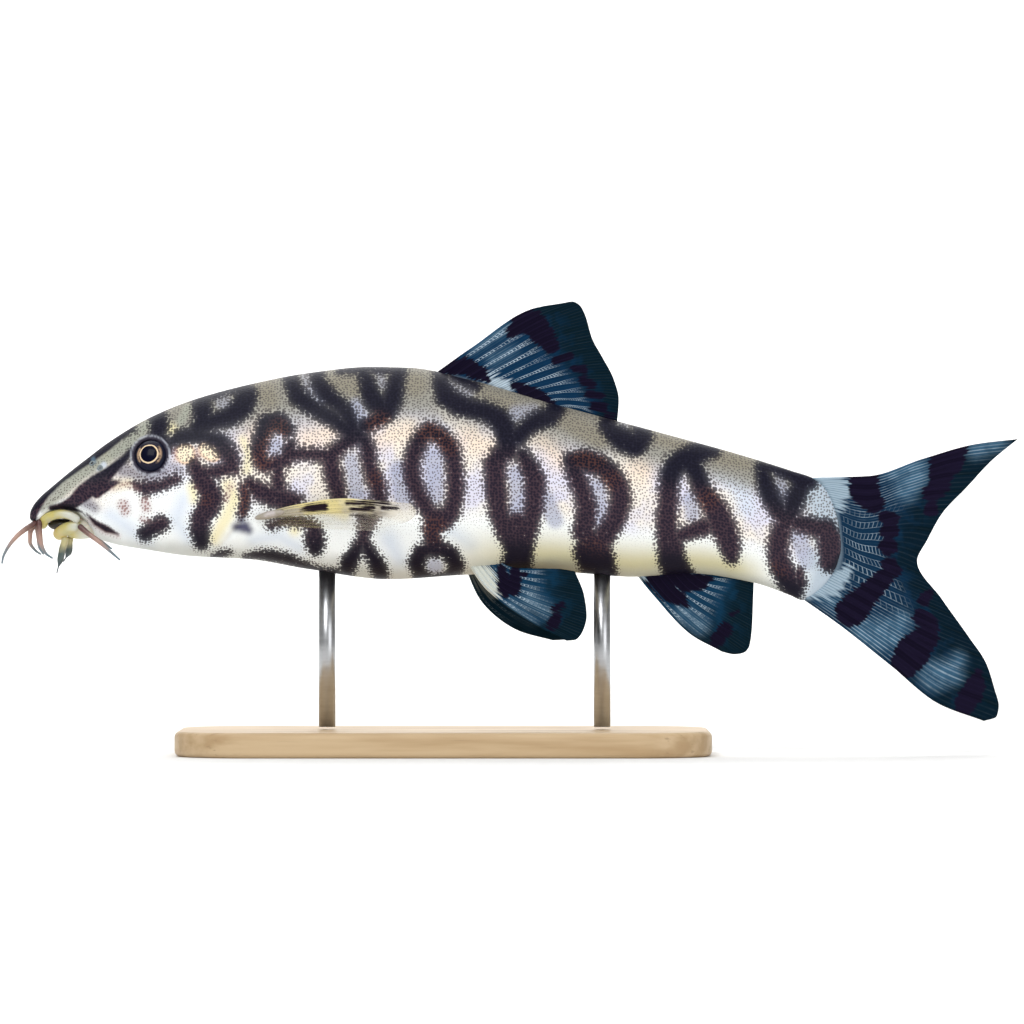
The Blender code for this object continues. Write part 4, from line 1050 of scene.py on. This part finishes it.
def skin_paint():
    """Cream and lilac skin under fine dots that crowd into dark rings and bars, and tiny scales."""
    paint = Paint("loach_skin", coat_weight=0.05, coat_roughness=0.2, specular_ior_level=0.12)
    soft = paint.noise(6.0, 3.0)
    fine = paint.noise(0.6, 3.0, 0.6)
    height = paint.attribute("level") + 0.12 * (soft - 0.5)
    dots = paint.skin_dots(DOT_SPACING)
    calm = paint.attribute("calm")
    wander = 0.16 * (fine - 0.5) + 0.4 * (paint.noise(2.2) - 0.5)
    ragged = paint.attribute("mark") * (1 + 1.5 * calm) + 0.2 + wander * (1 - 0.5 * calm)
    crowded = ragged.rising(-1.0, 0.9)
    dotted = (dot_reach(paint, height, crowded) - dots).rising(-0.11, 0.11)
    dotted = dotted * (0.78 + 0.22 * crowded)
    crisp = 0.75 * calm * ragged.rising(-1.0, -0.4)
    shown = dotted * (1 - crisp) + ragged.rising(-0.5, 0.5) * crisp
    under, ink = dot_colours(paint, height, dots, ragged, crowded)
    colour = paint.layers(
        skin_ground(paint, height, soft),
        (ragged.rising(-0.3, 0.9) * 0.6, under),
        (shown, ink),
        (paint.attribute("orbit_dark"), ORBIT_DARK),
        (paint.attribute("orbit_ring") * 0.75, ORBIT_RING),
        (paint.attribute("nostril_blue") * 0.8, NOSTRIL_TUBE_BLUE),
        (paint.attribute("nostril_white") * 0.8, NOSTRIL_FLAP_WHITE),
        # painted shade in the nostrils' pits
        (paint.attribute("nostril_pit_shade"), NOSTRIL_PIT_SHADE),
    )
    paint.colour(colour)
    paint.roughness(0.42 + 0.2 * fine)
    paint.bump(dots * -0.6 + fine * 0.4 + paint.noise(2.5) * 1.5, 0.05)
    return paint


def lip_paint():
    """Moist yellow lips that turn the cheek's pale grey at the corners of the mouth."""
    paint = Paint("loach_lip", coat_weight=0.2, coat_roughness=0.15, subsurface_weight=0.1)
    soft = paint.noise(1.2, 3.0)
    paint.colour(paint.layers(
        LIP_YELLOW, (soft.rising(0.35, 0.7), LIP_CREAM), (paint.attribute("corner"), LIP_CORNER),
    ))
    paint.roughness(0.3 + 0.15 * soft)
    paint.bump(paint.noise(0.4, 2.0), 0.05)
    return paint


def mouth_paint():
    """Dark brown, nearly black lining."""
    paint = Paint("loach_mouth", coat_weight=0.2)
    soft = paint.noise(0.8, 3.0)
    paint.colour(paint.mix(soft, MOUTH_BLACK, MOUTH_BROWN))
    paint.roughness(0.45 + 0.2 * soft)
    paint.bump(soft, 0.1)
    return paint


def eye_paint():
    """A navy pupil in a thin golden ring, in a dark iris with bronze flecks at its sides."""
    paint = Paint(
        "loach_eye", coat_weight=0.08, coat_roughness=0.02, roughness=0.35,
        specular_ior_level=0.05,
    )
    fleck = paint.noise(0.28, 3.0, 0.7)
    out = paint.attribute("from_axis") + 0.1 * (paint.noise(0.5) - 0.5)
    bronze = (fleck + 0.5 * paint.attribute("sideways")).rising(0.95, 1.2)
    paint.colour(paint.layers(
        IRIS_DARK,
        (bronze, IRIS_BRONZE),
        (out.rising(IRIS_RADIUS - 0.25, IRIS_RADIUS), IRIS_RIM),
        (out.rising(GOLD_RING_RADIUS + 0.04, GOLD_RING_RADIUS - 0.02), PUPIL_RING),
        (out.rising(PUPIL_RADIUS + 0.04, PUPIL_RADIUS), PUPIL_NAVY),
    ))
    return paint


def nostril_paint():
    """The thin grey-blue rims of the nostrils."""
    paint = Paint("loach_nostril", coat_weight=0.1, specular_ior_level=0.2)
    soft = paint.noise(0.3, 3.0)
    paint.colour(paint.mix(soft.rising(0.35, 0.65), NOSTRIL_RIM_GREY, NOSTRIL_RIM_PALE))
    paint.roughness(0.4 + 0.2 * soft)
    paint.bump(soft, 0.03)
    return paint


def barbel_paint():
    """Red-brown at the root, then pink, then blue-grey to the tip."""
    paint = Paint("loach_barbel", coat_weight=0.3, coat_roughness=0.2, subsurface_weight=0.05)
    along = paint.attribute("along") + 0.2 * (paint.noise(0.6) - 0.5)
    paint.colour(paint.layers(
        BARBEL_RED, (along.rising(0.1, 0.5), BARBEL_PINK), (along.rising(0.5, 0.85), BARBEL_BLUE),
    ))
    paint.roughness(0.4 + 0.15 * paint.noise(0.4))
    paint.bump(paint.noise(0.3, 2.0), 0.04)
    return paint


def chin_barbel_paint():
    """Yellow-olive lobes that end in blue-grey threads."""
    paint = Paint("loach_chin_barbel", coat_weight=0.4, coat_roughness=0.15)
    along = paint.attribute("along") + 0.2 * (paint.noise(0.6) - 0.5)
    paint.colour(paint.layers(
        CHIN_OLIVE, (along.rising(0.18, 0.5), CHIN_GREY), (along.rising(0.6, 0.85), CHIN_BLUE),
    ))
    paint.roughness(0.35 + 0.15 * paint.noise(0.4))
    paint.bump(paint.noise(0.3, 2.0), 0.05)
    return paint


def fin_paint(name, rays, hues, lobed=0.0, see_through=False):
    """A rayed membrane: forked rays with pale edges and rungs, dark bands and pale windows, and painted
    shade on a pelvic fin's inner face.

    A lobed fin has finer lines on its two outer lobes. A see-through one is clear between its
    rays and bands, apart from its first rays.
    """
    count, ray_half, segments = rays
    base, steel, web, margin, line, band = hues
    paint = Paint(name, specular_ior_level=0.03)
    across = paint.attribute("across")
    along = paint.attribute("along")
    window = paint.attribute("steel")
    fine = paint.noise(0.7, 3.0, 0.6)
    streak = paint.noise(1.6, 2.0).rising(0.35, 0.6)
    outer = abs(across - 0.5).rising(0.14, 0.3) * lobed
    ray = across * count

    fork = along.rising(0.35, 0.65) * 0.2
    split = along.rising(0.6, 0.85) * 0.1
    off = abs(abs(abs(ray.fraction() - 0.5) - fork) - split)
    half = ray_half * (1 - along.rising(0.25, 0.75) * 0.6)
    edge = abs(off - half).rising(0.035, 0.012)
    inside = (half - off).rising(-0.01, 0.02)
    own = paint.own_value(ray)
    beat = (along * segments + own * 0.6).fraction()
    rung = inside * beat.rising(0.72, 0.86) * (1 - outer)
    edge = edge * (0.45 + 0.55 * beat.rising(0.1, 0.4)) * (1 - 0.5 * outer)
    shine = along.rising(0.03, 0.1) * (1 - along.rising(0.4, 0.66))
    shine = (shine * (0.3 + 0.4 * streak + 0.3 * own)).at_least(window * 0.4)
    lines = edge.at_least(rung) * shine * (0.85 - 0.42 * lobed)
    strand = abs((ray * 4).fraction() - 0.5).rising(0.28, 0.46)
    faint = 0.3 + 0.7 * paint.own_value(ray * 4 + 0.5) * streak

    frayed = paint.attribute("root") + 0.5 * (paint.own_value(ray * 5) - 0.5)
    root = frayed.rising(0.3, 0.7).at_least(0.5 - 0.5 * along.rising(0.0, 0.06))
    membrane = paint.layers(
        web,
        ((along + 0.15 * (streak - 0.5)).rising(0.45, 0.92), margin),
        (window * (0.55 + 0.2 * inside + 0.25 * streak), steel),
        (inside * along.rising(0.5, 0.9) * 0.12, web),
        (root * 0.9, base),
        (lines, line),
        (strand * (0.02 + 0.3 * window + 0.26 * outer * shine) * faint, line),
        (strand * root * 0.6, steel),
        # painted shade: a pelvic fin's inner face darkened to the margin colour
        (paint.attribute("inner") * 0.85, margin),
    )
    tear = 0.4 * (paint.own_value(ray * 6) - 0.5) + 0.35 * (fine - 0.5) - 0.1 * strand
    ragged = paint.attribute("mark") + tear
    ink = paint.mix(inside * 0.25 + strand * 0.15, band, BAND_RAYS)
    paint.colour(paint.mix(ragged.rising(-0.15, 0.15), membrane, ink))
    paint.roughness(0.45 + 0.12 * fine)
    paint.bump(inside * (1 - 0.7 * along) + rung * 0.4, 0.02)
    if see_through:
        lead = across.rising(0.55, 0.35) * (1 - 0.75 * along.rising(0.62, 0.95))
        cover = (inside * 0.12).at_least(ragged.rising(-0.2, 0.2) * 0.9).at_least(lead)
        paint.feed(paint.shader.inputs["Alpha"], 0.03 + 0.97 * cover)
    return paint


def flesh_paint():
    """The soft pinkish-grey lobe at the root of a pectoral fin."""
    paint = Paint(
        "loach_flesh", coat_weight=0.05, coat_roughness=0.2, specular_ior_level=0.15,
    )
    soft = paint.noise(1.0, 3.0)
    paint.colour(paint.layers(
        LOBE_PINK,
        (soft.rising(0.35, 0.65), LOBE_TAN),
        (paint.cells(0.3).rising(0.22, 0.12) * 0.5, LOBE_DOTS),
    ))
    paint.roughness(0.4 + 0.2 * soft)
    paint.bump(soft, 0.06)
    return paint


def wood_paint():
    """Pale satin wood with its grain along the base."""
    paint = Paint("stand_wood", coat_weight=0.15, coat_roughness=0.3)
    grain = paint.stretched_noise(2.2, (0.08, 1.0, 1.0), 4.0)
    pores = paint.stretched_noise(0.5, (0.05, 1.0, 1.0), 2.0)
    paint.colour(paint.layers(
        WOOD_PALE,
        (grain.rising(0.35, 0.65), WOOD_GRAIN),
        (pores.rising(0.62, 0.78) * 0.5, WOOD_PORES),
    ))
    paint.roughness(0.45 + 0.15 * grain)
    paint.bump(grain + pores * 0.5, 0.05)
    return paint


def steel_paint():
    """Brushed steel with fine scratches round the rod."""
    paint = Paint("stand_steel", metallic=1.0)
    brushed = paint.stretched_noise(0.4, (0.2, 0.2, 1.0), 3.0)
    paint.colour(paint.mix(brushed, STEEL_DARK, STEEL_LIGHT))
    paint.roughness(0.25 + 0.15 * brushed)
    paint.bump(brushed, 0.01)
    return paint


def floor_paint():
    """Plain pale paper."""
    paint = Paint("studio_floor", roughness=0.7)
    paint.colour(paint.mix(paint.noise(400.0), FLOOR_SHADE, FLOOR_WHITE))
    return paint


# Pieces of the head and the skin


def patch(places, strokes, soft):
    """How much of a patch shows at (x, height) places, 0 to 1 with edges of a softness."""
    return ramp(-soft, soft, stroke_depth(places, strokes))


def on_side(point, side):
    """A point with side 1, or with side -1 its mirror image across the middle plane."""
    x, y, height = point
    return (x, side * y, height)


def follow_gill_rim(start_x, turn):
    """Shifts sections of the skin so that one of them lies along the gill cover's rim."""
    x = start_x
    nearness = np.clip(np.abs(start_x - GILL_RIM_MIDDLE) / GILL_RIM_SPREAD, 0.0, 1.0)
    share = (1 - nearness ** 2) ** 2
    for _ in range(4):
        height = skin_points(x, turn)[:, 2]
        x = start_x + (gill_rim_x(height) - GILL_RIM_MIDDLE) * share
    return x


def gill_swell(x, height):
    """The gill cover swells to its rim, and behind it lies a narrow slit."""
    ahead = gill_rim_x(height) - x
    across = 1 - ramp(0.35, 1.0, np.abs(height - GILL_COVER_MIDDLE) / GILL_COVER_REACH)
    cover = 1 - ramp(0.0, GILL_COVER_LENGTH, np.maximum(ahead, 0.0))
    cover = cover * (1 - ramp(0.0, GILL_STEP, -ahead))
    slit = bell(GILL_SLIT_WIDTH, ahead + GILL_SLIT_BEHIND)
    return (GILL_COVER_SWELL * cover - GILL_SLIT_DEPTH * slit) * across


def orbit_shape(out):
    """The orbit's raised rim and the hollow that holds the eye, at distances from its middle."""
    rim = ORBIT_RIM * bell(ORBIT_RIM_WIDTH, out - ORBIT_RADIUS)
    return rim - EYE_HOLLOW_DEPTH * (1 - ramp(*EYE_HOLLOW_RADII, out))


def mark_skin(mesh, places):
    """Gives the skin's points the values that its paint reads for markings and patches."""
    x, y, height = places.T
    seen = places[:, [0, 2]]
    for name, (strokes, soft) in SKIN_PATCHES.items():
        add_attribute(mesh, name, patch(seen, strokes, soft))
    add_attribute(mesh, "mark", np.clip(stroke_depth(seen, BODY_MARKS), -2.0, 2.0))
    add_attribute(mesh, "glow", ramp(-0.3, 1.1, stroke_depth(seen, GLOW_SPOTS)))

    belly = on_line(BELLY_LINE, x)
    level = (height - belly) / np.maximum(on_line(BACK_LINE, x) - belly, 0.01)
    cheek = ramp(*CHEEK_FRONT, x) * ramp(*CHEEK_REAR, x) * ramp(*CHEEK_TOP, level)
    yellow = ramp(*YELLOW_FRONT, x) * ramp(*YELLOW_TOP, level) * ramp(*YELLOW_REAR, x)
    add_attribute(mesh, "level", level)
    add_attribute(mesh, "cheek", cheek)
    add_attribute(mesh, "yellow", yellow)
    add_attribute(mesh, "speckle", ramp(*SPECKLE_LEVELS, level) * (1 - 0.85 * cheek))
    add_attribute(mesh, "calm", ramp(*SNOUT_CALM, x))
    add_attribute(mesh, "tail_end", ramp(*STALK_END, x + 0.25 * np.abs(height - STALK_MIDDLE)))

    out = np.hypot(x - EYE_PLACE[0], height - EYE_PLACE[1])
    # Dark discs of painted shade where the nostrils' pits would be
    pit_shades = [bell(0.2, np.hypot(x - at[0], height - at[1])) for at in NOSTRILS.values()]
    aside = ramp(0.9, 1.7, np.abs(y))
    add_attribute(mesh, "orbit_ring", bell(0.09, out - ORBIT_RADIUS - 0.08))
    add_attribute(mesh, "orbit_dark", ramp(ORBIT_RADIUS + 0.05, ORBIT_RADIUS - 0.05, out))
    add_attribute(mesh, "nostril_pit_shade", np.maximum(*pit_shades))
    add_attribute(mesh, "nostril_blue", patch(seen, NOSTRIL_BLUE, 0.2) * aside)
    add_attribute(mesh, "nostril_white", patch(seen, NOSTRIL_WHITE, 0.2) * aside)


def skin_piece():
    """The whole skin of the head, trunk and tail as one surface, with its markings."""
    mesh, share, turn = ball_mesh("skin", SKIN_SIDES, SKIN_SECTIONS)
    start_x = SNOUT_X + (TAIL_END_X - SNOUT_X) * (1 - np.cos(share * math.pi)) / 2
    x = follow_gill_rim(start_x, turn)
    places = skin_points(x, turn)
    height = places[:, 2]
    folds = np.minimum(stroke_depth(places[:, [0, 2]], HEAD_FOLDS), 0.0)
    lift = gill_swell(x, height)
    lift += orbit_shape(np.hypot(x - EYE_PLACE[0], height - EYE_PLACE[1]))
    lift -= FOLD_DEPTH * bell(FOLD_WIDTH, folds)
    lift += CHEEK_SWELL * patch(places[:, [0, 2]], CHEEK_SWELLS, 0.9)
    places[:, 1] += lift * np.abs(np.sin(turn)) * np.sign(places[:, 1])
    write_places(mesh, places)
    add_attribute(mesh, "along_mm", x)
    add_attribute(mesh, "round_mm", girth_from_side(x, turn))
    mark_skin(mesh, places)
    finished("skin", mesh, skin_paint(), ["head", "trunk", "tail"])


def eye_pieces():
    """The flat eyes, sunk in their orbits."""
    paint = eye_paint()
    for name, side in (("eye_left", -1), ("eye_right", 1)):
        centre, facing = face_place(EYE_PLACE, side, -EYE_SINK)
        radii = (EYE_RADIUS, EYE_RADIUS, EYE_RADIUS * EYE_FLATNESS)
        mesh = oval_mesh(name + "_ball", centre, radii, facing, 64, 48)
        finished(name + "_ball", mesh, paint, [name])


def ring_mesh(name, centre, facing):
    """A nostril's thin ring, flat on the skin that faces a way."""
    shape = bmesh.new()
    rim = bmesh.ops.create_circle(shape, segments=12, radius=NOSTRIL_RIM_RADIUS * MM)["verts"]
    upright = Vector((0, 1, 0)).to_track_quat("Z", "Y").to_matrix()
    bmesh.ops.rotate(shape, verts=rim, matrix=upright)
    bmesh.ops.translate(shape, verts=rim, vec=Vector((NOSTRIL_RING_RADIUS * MM, 0, 0)))
    bmesh.ops.spin(
        shape, geom=shape.verts[:] + shape.edges[:], cent=(0, 0, 0), axis=(0, 0, 1),
        angle=2 * math.pi, steps=28, use_merge=True,
    )
    turned = facing.to_track_quat("Z", "Y").to_matrix()
    bmesh.ops.rotate(shape, verts=shape.verts, matrix=turned)
    place = (centre + Vector((0, 0, TAIL_CLEARANCE))) * MM
    bmesh.ops.translate(shape, verts=shape.verts, vec=place)
    return mesh_of(name, shape)


def nostril_pieces():
    """A thin ring round each nostril, front and rear, on each side."""
    paint = nostril_paint()
    for name, place in NOSTRILS.items():
        for side_name, side in (("left", -1), ("right", 1)):
            mesh = ring_mesh(name, *face_place(place, side, NOSTRIL_LIFT))
            finished(f"{name}_{side_name}", mesh, paint)


def lip_mesh(name, half, radius):
    """A lip's roll round the mouth, thinner at its corners."""
    def radius_at(shares):
        return radius * (0.75 + 0.25 * np.sqrt(np.sin(math.pi * np.clip(shares, 0.0, 1.0))))

    path = half[::-1] + [on_side(point, -1) for point in half[1:]]
    return tube_mesh(name, path, radius_at, 32, 96)


def mouth_pieces():
    """The lips, the jaw's pad under the lower one, and the mouth's dark lining."""
    paint = lip_paint()
    for name, half, radius in (
        ("upper_lip", UPPER_LIP, UPPER_LIP_RADIUS),
        ("lower_lip", LOWER_LIP, LOWER_LIP_RADIUS),
    ):
        mesh = lip_mesh(name + "_roll", half, radius)
        add_attribute(mesh, "corner", ramp(*LIP_CORNER_Y, np.abs(read_places(mesh)[:, 1]) / MM))
        finished(name + "_roll", mesh, paint, [name])
    mesh = oval_mesh("jaw", JAW, JAW_RADII, (0, 0, 1))
    add_attribute(mesh, "corner", ramp(*JAW_CORNER_X, read_places(mesh)[:, 0] / MM))
    finished("jaw", mesh, paint)
    mesh = oval_mesh("mouth_inside", MOUTH_LINING, MOUTH_LINING_RADII, (0, 0, 1))
    finished("mouth_inside", mesh, mouth_paint(), ["mouth_lining"])


def feeler_radius(shares):
    return FEELER_ROOT_RADIUS * (1 - 0.72 * shares ** 1.4)


def chin_feeler_radius(shares):
    thick = 1 - 0.72 * ramp(0.6, 0.85, shares)
    return CHIN_FEELER_ROOT_RADIUS * (thick - 0.12 * shares)


def barbel_pieces():
    """The six plain feelers, and the two on the chin with a thick lobe and a thin end."""
    plain = barbel_paint()
    chin = chin_barbel_paint()
    for name, path in FEELERS.items():
        mandibular = "mandibular" in name
        paint = chin if mandibular else plain
        radius_at = chin_feeler_radius if mandibular else feeler_radius
        mesh = tube_mesh(name + "_thread", path, radius_at, FEELER_SIDES, FEELER_SECTIONS)
        finished(name + "_thread", mesh, paint, [name])


# Fins


def membrane_half(phase, along):
    """Half the membrane's thickness, 0 at its rim, with forked rays standing out of it."""
    fork = ramp(0.25, 0.55, along) * 0.21
    split = ramp(0.6, 0.85, along) * 0.1
    off = np.abs(np.abs(np.abs(phase % 1.0 - 0.5) - fork) - split)
    ray = bell(0.17 - 0.08 * along, off) * FIN_RAY_RISE * (1 - along)
    web = FIN_WEB_HALF + (FIN_ROOT_HALF - FIN_WEB_HALF) * (1 - ramp(0.0, 0.3, along))
    web = web + (FIN_MARGIN_HALF - FIN_WEB_HALF) * ramp(0.5, 1.0, along)
    count = phase.max()
    across = phase / count
    side_rim = np.minimum(across, 1 - across) * count * 3
    end_rim = np.minimum(along, 1 - along) * 40
    return (web + ray) * np.sqrt(np.clip(np.minimum(side_rim, end_rim), 0.0, 1.0))


def fin_sheet(levels, shares, heights):
    """Points and facings of a fan of curves, by share across the fin and height along a ray."""
    fans = np.stack([along_curve(level, shares) for level in levels], axis=1)
    sheet = np.stack([along_curve(fan, heights) for fan in fans])
    facing = np.cross(np.gradient(sheet, axis=0), np.gradient(sheet, axis=1))
    facing /= np.maximum(np.linalg.norm(facing, axis=2)[:, :, None], 1e-9)
    return sheet, facing


def fin_piece(name, levels, rays, paint, patches, nodes=(), rows=FIN_ROWS):
    """A thin closed membrane over a fan of curves, with its rays as ridges on both faces."""
    count = rays[0]
    cells = count * CELLS_PER_RAY
    shares = np.linspace(0.0, 1.0, cells + 1)
    heights = np.linspace(0.0, 1.0, rows + 1)
    sheet, facing = fin_sheet(levels, shares, heights)
    half = membrane_half(shares[:, None] * count, heights[None, :])
    shape = bmesh.new()
    for _ in range(2):
        bmesh.ops.create_grid(shape, x_segments=cells, y_segments=rows, size=1.0)
    mesh = mesh_of(name + "_web", shape)
    flat = read_places(mesh)
    column, _ = grid_numbers(flat[:, 0])
    row, _ = grid_numbers(flat[:, 1])
    face = np.where(np.arange(len(flat)) < len(flat) // 2, -1.0, 1.0)
    middle = sheet[column, row]
    write_places(mesh, middle + facing[column, row] * (half[column, row] * face)[:, None])

    seen = middle[:, [0, 2]]
    dark, steel, base = patches
    add_attribute(mesh, "across", shares[column])
    add_attribute(mesh, "along", heights[row])
    add_attribute(mesh, "mark", np.clip(stroke_depth(seen, dark), -2.0, 2.0))
    add_attribute(mesh, "steel", patch(seen, steel, 1.2))
    add_attribute(mesh, "root", patch(seen, base, 1.4))
    shape = bmesh.new()
    shape.from_mesh(mesh)
    bmesh.ops.remove_doubles(shape, verts=shape.verts, dist=0.0000001)
    shape.to_mesh(mesh)
    shape.free()
    return finished(name + "_web", mesh, paint, nodes or [name])


def paint_shade_on_inner_face(fin):
    """Marks the face of a paired fin that is turned to the body's middle plane, where its paint lays
    painted shade.
    """
    mesh = fin.data
    facing = np.zeros(len(mesh.vertices) * 3)
    mesh.vertices.foreach_get("normal", facing)
    add_attribute(mesh, "inner", facing[1::3] * read_places(mesh)[:, 1] < 0)


def in_middle(*levels):
    """Levels of (x, height) points as points of the middle plane."""
    return [[(x, 0.0, height) for x, height in level] for level in levels]


def median_fin_pieces():
    """The dorsal, anal and tail fins."""
    root = [(x, float(on_line(BACK_LINE, x)) - FIN_ROOT_SINK) for x in DORSAL_ROOT_X]
    fin_piece(
        "dorsal_fin", in_middle(root, DORSAL_LOW, DORSAL_HIGH, DORSAL_MARGIN), DORSAL_RAYS,
        fin_paint("loach_dorsal_fin", DORSAL_RAYS, DORSAL_HUES),
        (DORSAL_DARK, DORSAL_STEEL, DORSAL_ROOT),
    )
    root = [(x, float(on_line(BELLY_LINE, x)) + FIN_ROOT_SINK) for x in ANAL_ROOT_X]
    fin_piece(
        "anal_fin", in_middle(root, ANAL_LOW, ANAL_HIGH, ANAL_MARGIN), ANAL_RAYS,
        fin_paint("loach_anal_fin", ANAL_RAYS, BLUE_HUES),
        (ANAL_DARK, ANAL_STEEL, ANAL_ROOT),
    )
    fin_piece(
        "caudal_fin", in_middle(*CAUDAL), CAUDAL_RAYS,
        fin_paint("loach_tail_fin", CAUDAL_RAYS, CAUDAL_HUES, lobed=1.0),
        (CAUDAL_DARK, CAUDAL_STEEL, CAUDAL_ROOT),
        nodes=["caudal_fin_upper", "caudal_fin_lower"], rows=CAUDAL_ROWS,
    )


def pelvic_fin_pieces():
    """The two pelvic fins, each rooted low on its own flank."""
    paint = fin_paint("loach_pelvic_fin", PELVIC_RAYS, PELVIC_HUES)
    patches = (PELVIC_DARK, PELVIC_STEEL, PELVIC_ROOT)
    for name, turn, root_x, levels in (
        ("pelvic_fin_left", math.pi - PELVIC_ROOT_TURN, PELVIC_LEFT_ROOT_X, PELVIC_LEFT),
        ("pelvic_fin_right", math.pi + PELVIC_ROOT_TURN, PELVIC_RIGHT_ROOT_X, PELVIC_RIGHT),
    ):
        root = [off_skin(x, turn, -FIN_ROOT_SINK) for x in root_x]
        # The inner face of each pelvic fin gets painted shade
        paint_shade_on_inner_face(fin_piece(name, [root] + levels, PELVIC_RAYS, paint, patches))


def pectoral_fin_pieces():
    """The two pectoral fins, each with the fleshy lobe at its root; the right mirrors the left."""
    paint = fin_paint("loach_pectoral_fin", PECTORAL_RAYS, YELLOW_HUES, see_through=True)
    flesh = flesh_paint()
    patches = (PECTORAL_DARK, PECTORAL_STEEL, PECTORAL_ROOT_PATCH)
    root = [
        off_skin(x, turn_at_height(x, height), -FIN_ROOT_SINK) for x, height in PECTORAL_ROOT
    ]
    for name, side in (("pectoral_fin_left", 1), ("pectoral_fin_right", -1)):
        levels = [[on_side(point, side) for point in level] for level in [root] + PECTORAL]
        fin_piece(name, levels, PECTORAL_RAYS, paint, patches)
        centre = on_side(PECTORAL_LOBE, side)
        way = on_side(PECTORAL_LOBE_WAY, side)
        mesh = oval_mesh(name + "_lobe", centre, PECTORAL_LOBE_RADII, way)
        finished(name + "_lobe", mesh, flesh)


# The stand and the studio


def stand_base_piece():
    """The flat base with round corners and rounded edges."""
    low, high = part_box("stand_base")
    size = high - low
    shape = bmesh.new()
    bmesh.ops.create_cube(shape, size=1.0)
    bmesh.ops.scale(shape, verts=shape.verts, vec=size)
    bmesh.ops.translate(shape, verts=shape.verts, vec=(low + high) / 2)
    for upright, radius, segments in (
        (True, BASE_CORNER_RADIUS, 16), (False, BASE_EDGE_ROUNDING, 4),
    ):
        edges = [
            edge for edge in shape.edges
            if (abs(edge.verts[0].co.z - edge.verts[1].co.z) > size.z / 2) == upright
        ]
        bmesh.ops.bevel(
            shape, geom=edges, offset=radius * MM, segments=segments, profile=0.5,
            affect="EDGES", material=-1,
        )
    mesh = mesh_of("stand_base_wood", shape)
    finished("stand_base_wood", mesh, wood_paint(), ["stand_base"], smooth=False)


def stand_rod_pieces():
    """The two steel rods, each sunk a little in the base."""
    paint = steel_paint()
    for name in ("stand_rod_front", "stand_rod_rear"):
        low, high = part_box(name)
        length = high.z - low.z + ROD_SINK * MM
        radius = (high.x - low.x) / 2
        middle = (low + high) / 2
        shape = bmesh.new()
        bmesh.ops.create_cone(
            shape, cap_ends=True, segments=48, radius1=radius, radius2=radius, depth=length,
        )
        place = (middle.x, middle.y, low.z + length / 2)
        bmesh.ops.translate(shape, verts=shape.verts, vec=place)
        mesh = mesh_of(name + "_steel", shape)
        finished(name + "_steel", mesh, paint, [name])


def studio_floor():
    """A pale floor that curves up behind the fish."""
    shape = bmesh.new()
    bmesh.ops.create_grid(shape, x_segments=2, y_segments=FLOOR_ROWS, size=FLOOR_REACH)
    for point in shape.verts:
        behind = max(point.co.y - FLOOR_DEPTH, 0.0)
        turn = min(behind / FLOOR_BEND, math.pi / 2)
        if behind > 0:
            rest = behind - FLOOR_BEND * turn
            point.co.y = FLOOR_DEPTH + FLOOR_BEND * math.sin(turn)
            point.co.z = FLOOR_BEND * (1 - math.cos(turn)) + rest
    mesh = mesh_of("studio_floor", shape)
    mesh.shade_smooth()
    floor = in_scene("studio_floor", mesh, floor_paint())


def studio_lights():
    """Soft square lights in an even white surround."""
    for name, place, aim, size, power in STUDIO_LIGHTS:
        light = bpy.data.lights.new(name, "AREA")
        light.shape = "SQUARE"
        light.size = size
        light.energy = power
        lamp = bpy.data.objects.new(name, light)
        lamp.location = place
        lamp.rotation_euler = (Vector(aim) - Vector(place)).to_track_quat("-Z", "Y").to_euler()
        bpy.context.scene.collection.objects.link(lamp)
    world = bpy.data.worlds.new("studio")
    world.use_nodes = True
    surround = world.node_tree.nodes["Background"]
    surround.inputs["Color"].default_value = (1.0, 1.0, 1.0, 1.0)
    surround.inputs["Strength"].default_value = WORLD_STRENGTH
    bpy.context.scene.world = world
    bpy.context.scene.view_settings.view_transform = "Standard"


def photo_camera():
    """The photograph's camera, far off on the fish's left side, with its framing."""
    lens = bpy.data.cameras.new("photo_camera")
    lens.sensor_width = SENSOR_WIDTH
    lens.lens = SENSOR_WIDTH * CAMERA_DISTANCE / (IMAGE_PIXELS * PIXEL)
    lens.clip_start = CAMERA_CLIP * MM
    camera = bpy.data.objects.new("photo_camera", lens)
    middle = IMAGE_PIXELS / 2
    camera.location = Vector((
        (middle - MIDDLE_PIXEL) * PIXEL,
        -CAMERA_DISTANCE,
        (TAIL_TIP_PIXEL - middle) * PIXEL + TAIL_CLEARANCE,
    )) * MM
    camera.rotation_euler = (math.pi / 2, 0.0, 0.0)
    bpy.context.scene.collection.objects.link(camera)
    bpy.context.scene.camera = camera


skin_piece()
eye_pieces()
nostril_pieces()
mouth_pieces()
barbel_pieces()
median_fin_pieces()
pelvic_fin_pieces()
pectoral_fin_pieces()
stand_base_piece()
stand_rod_pieces()
studio_floor()
studio_lights()
photo_camera()
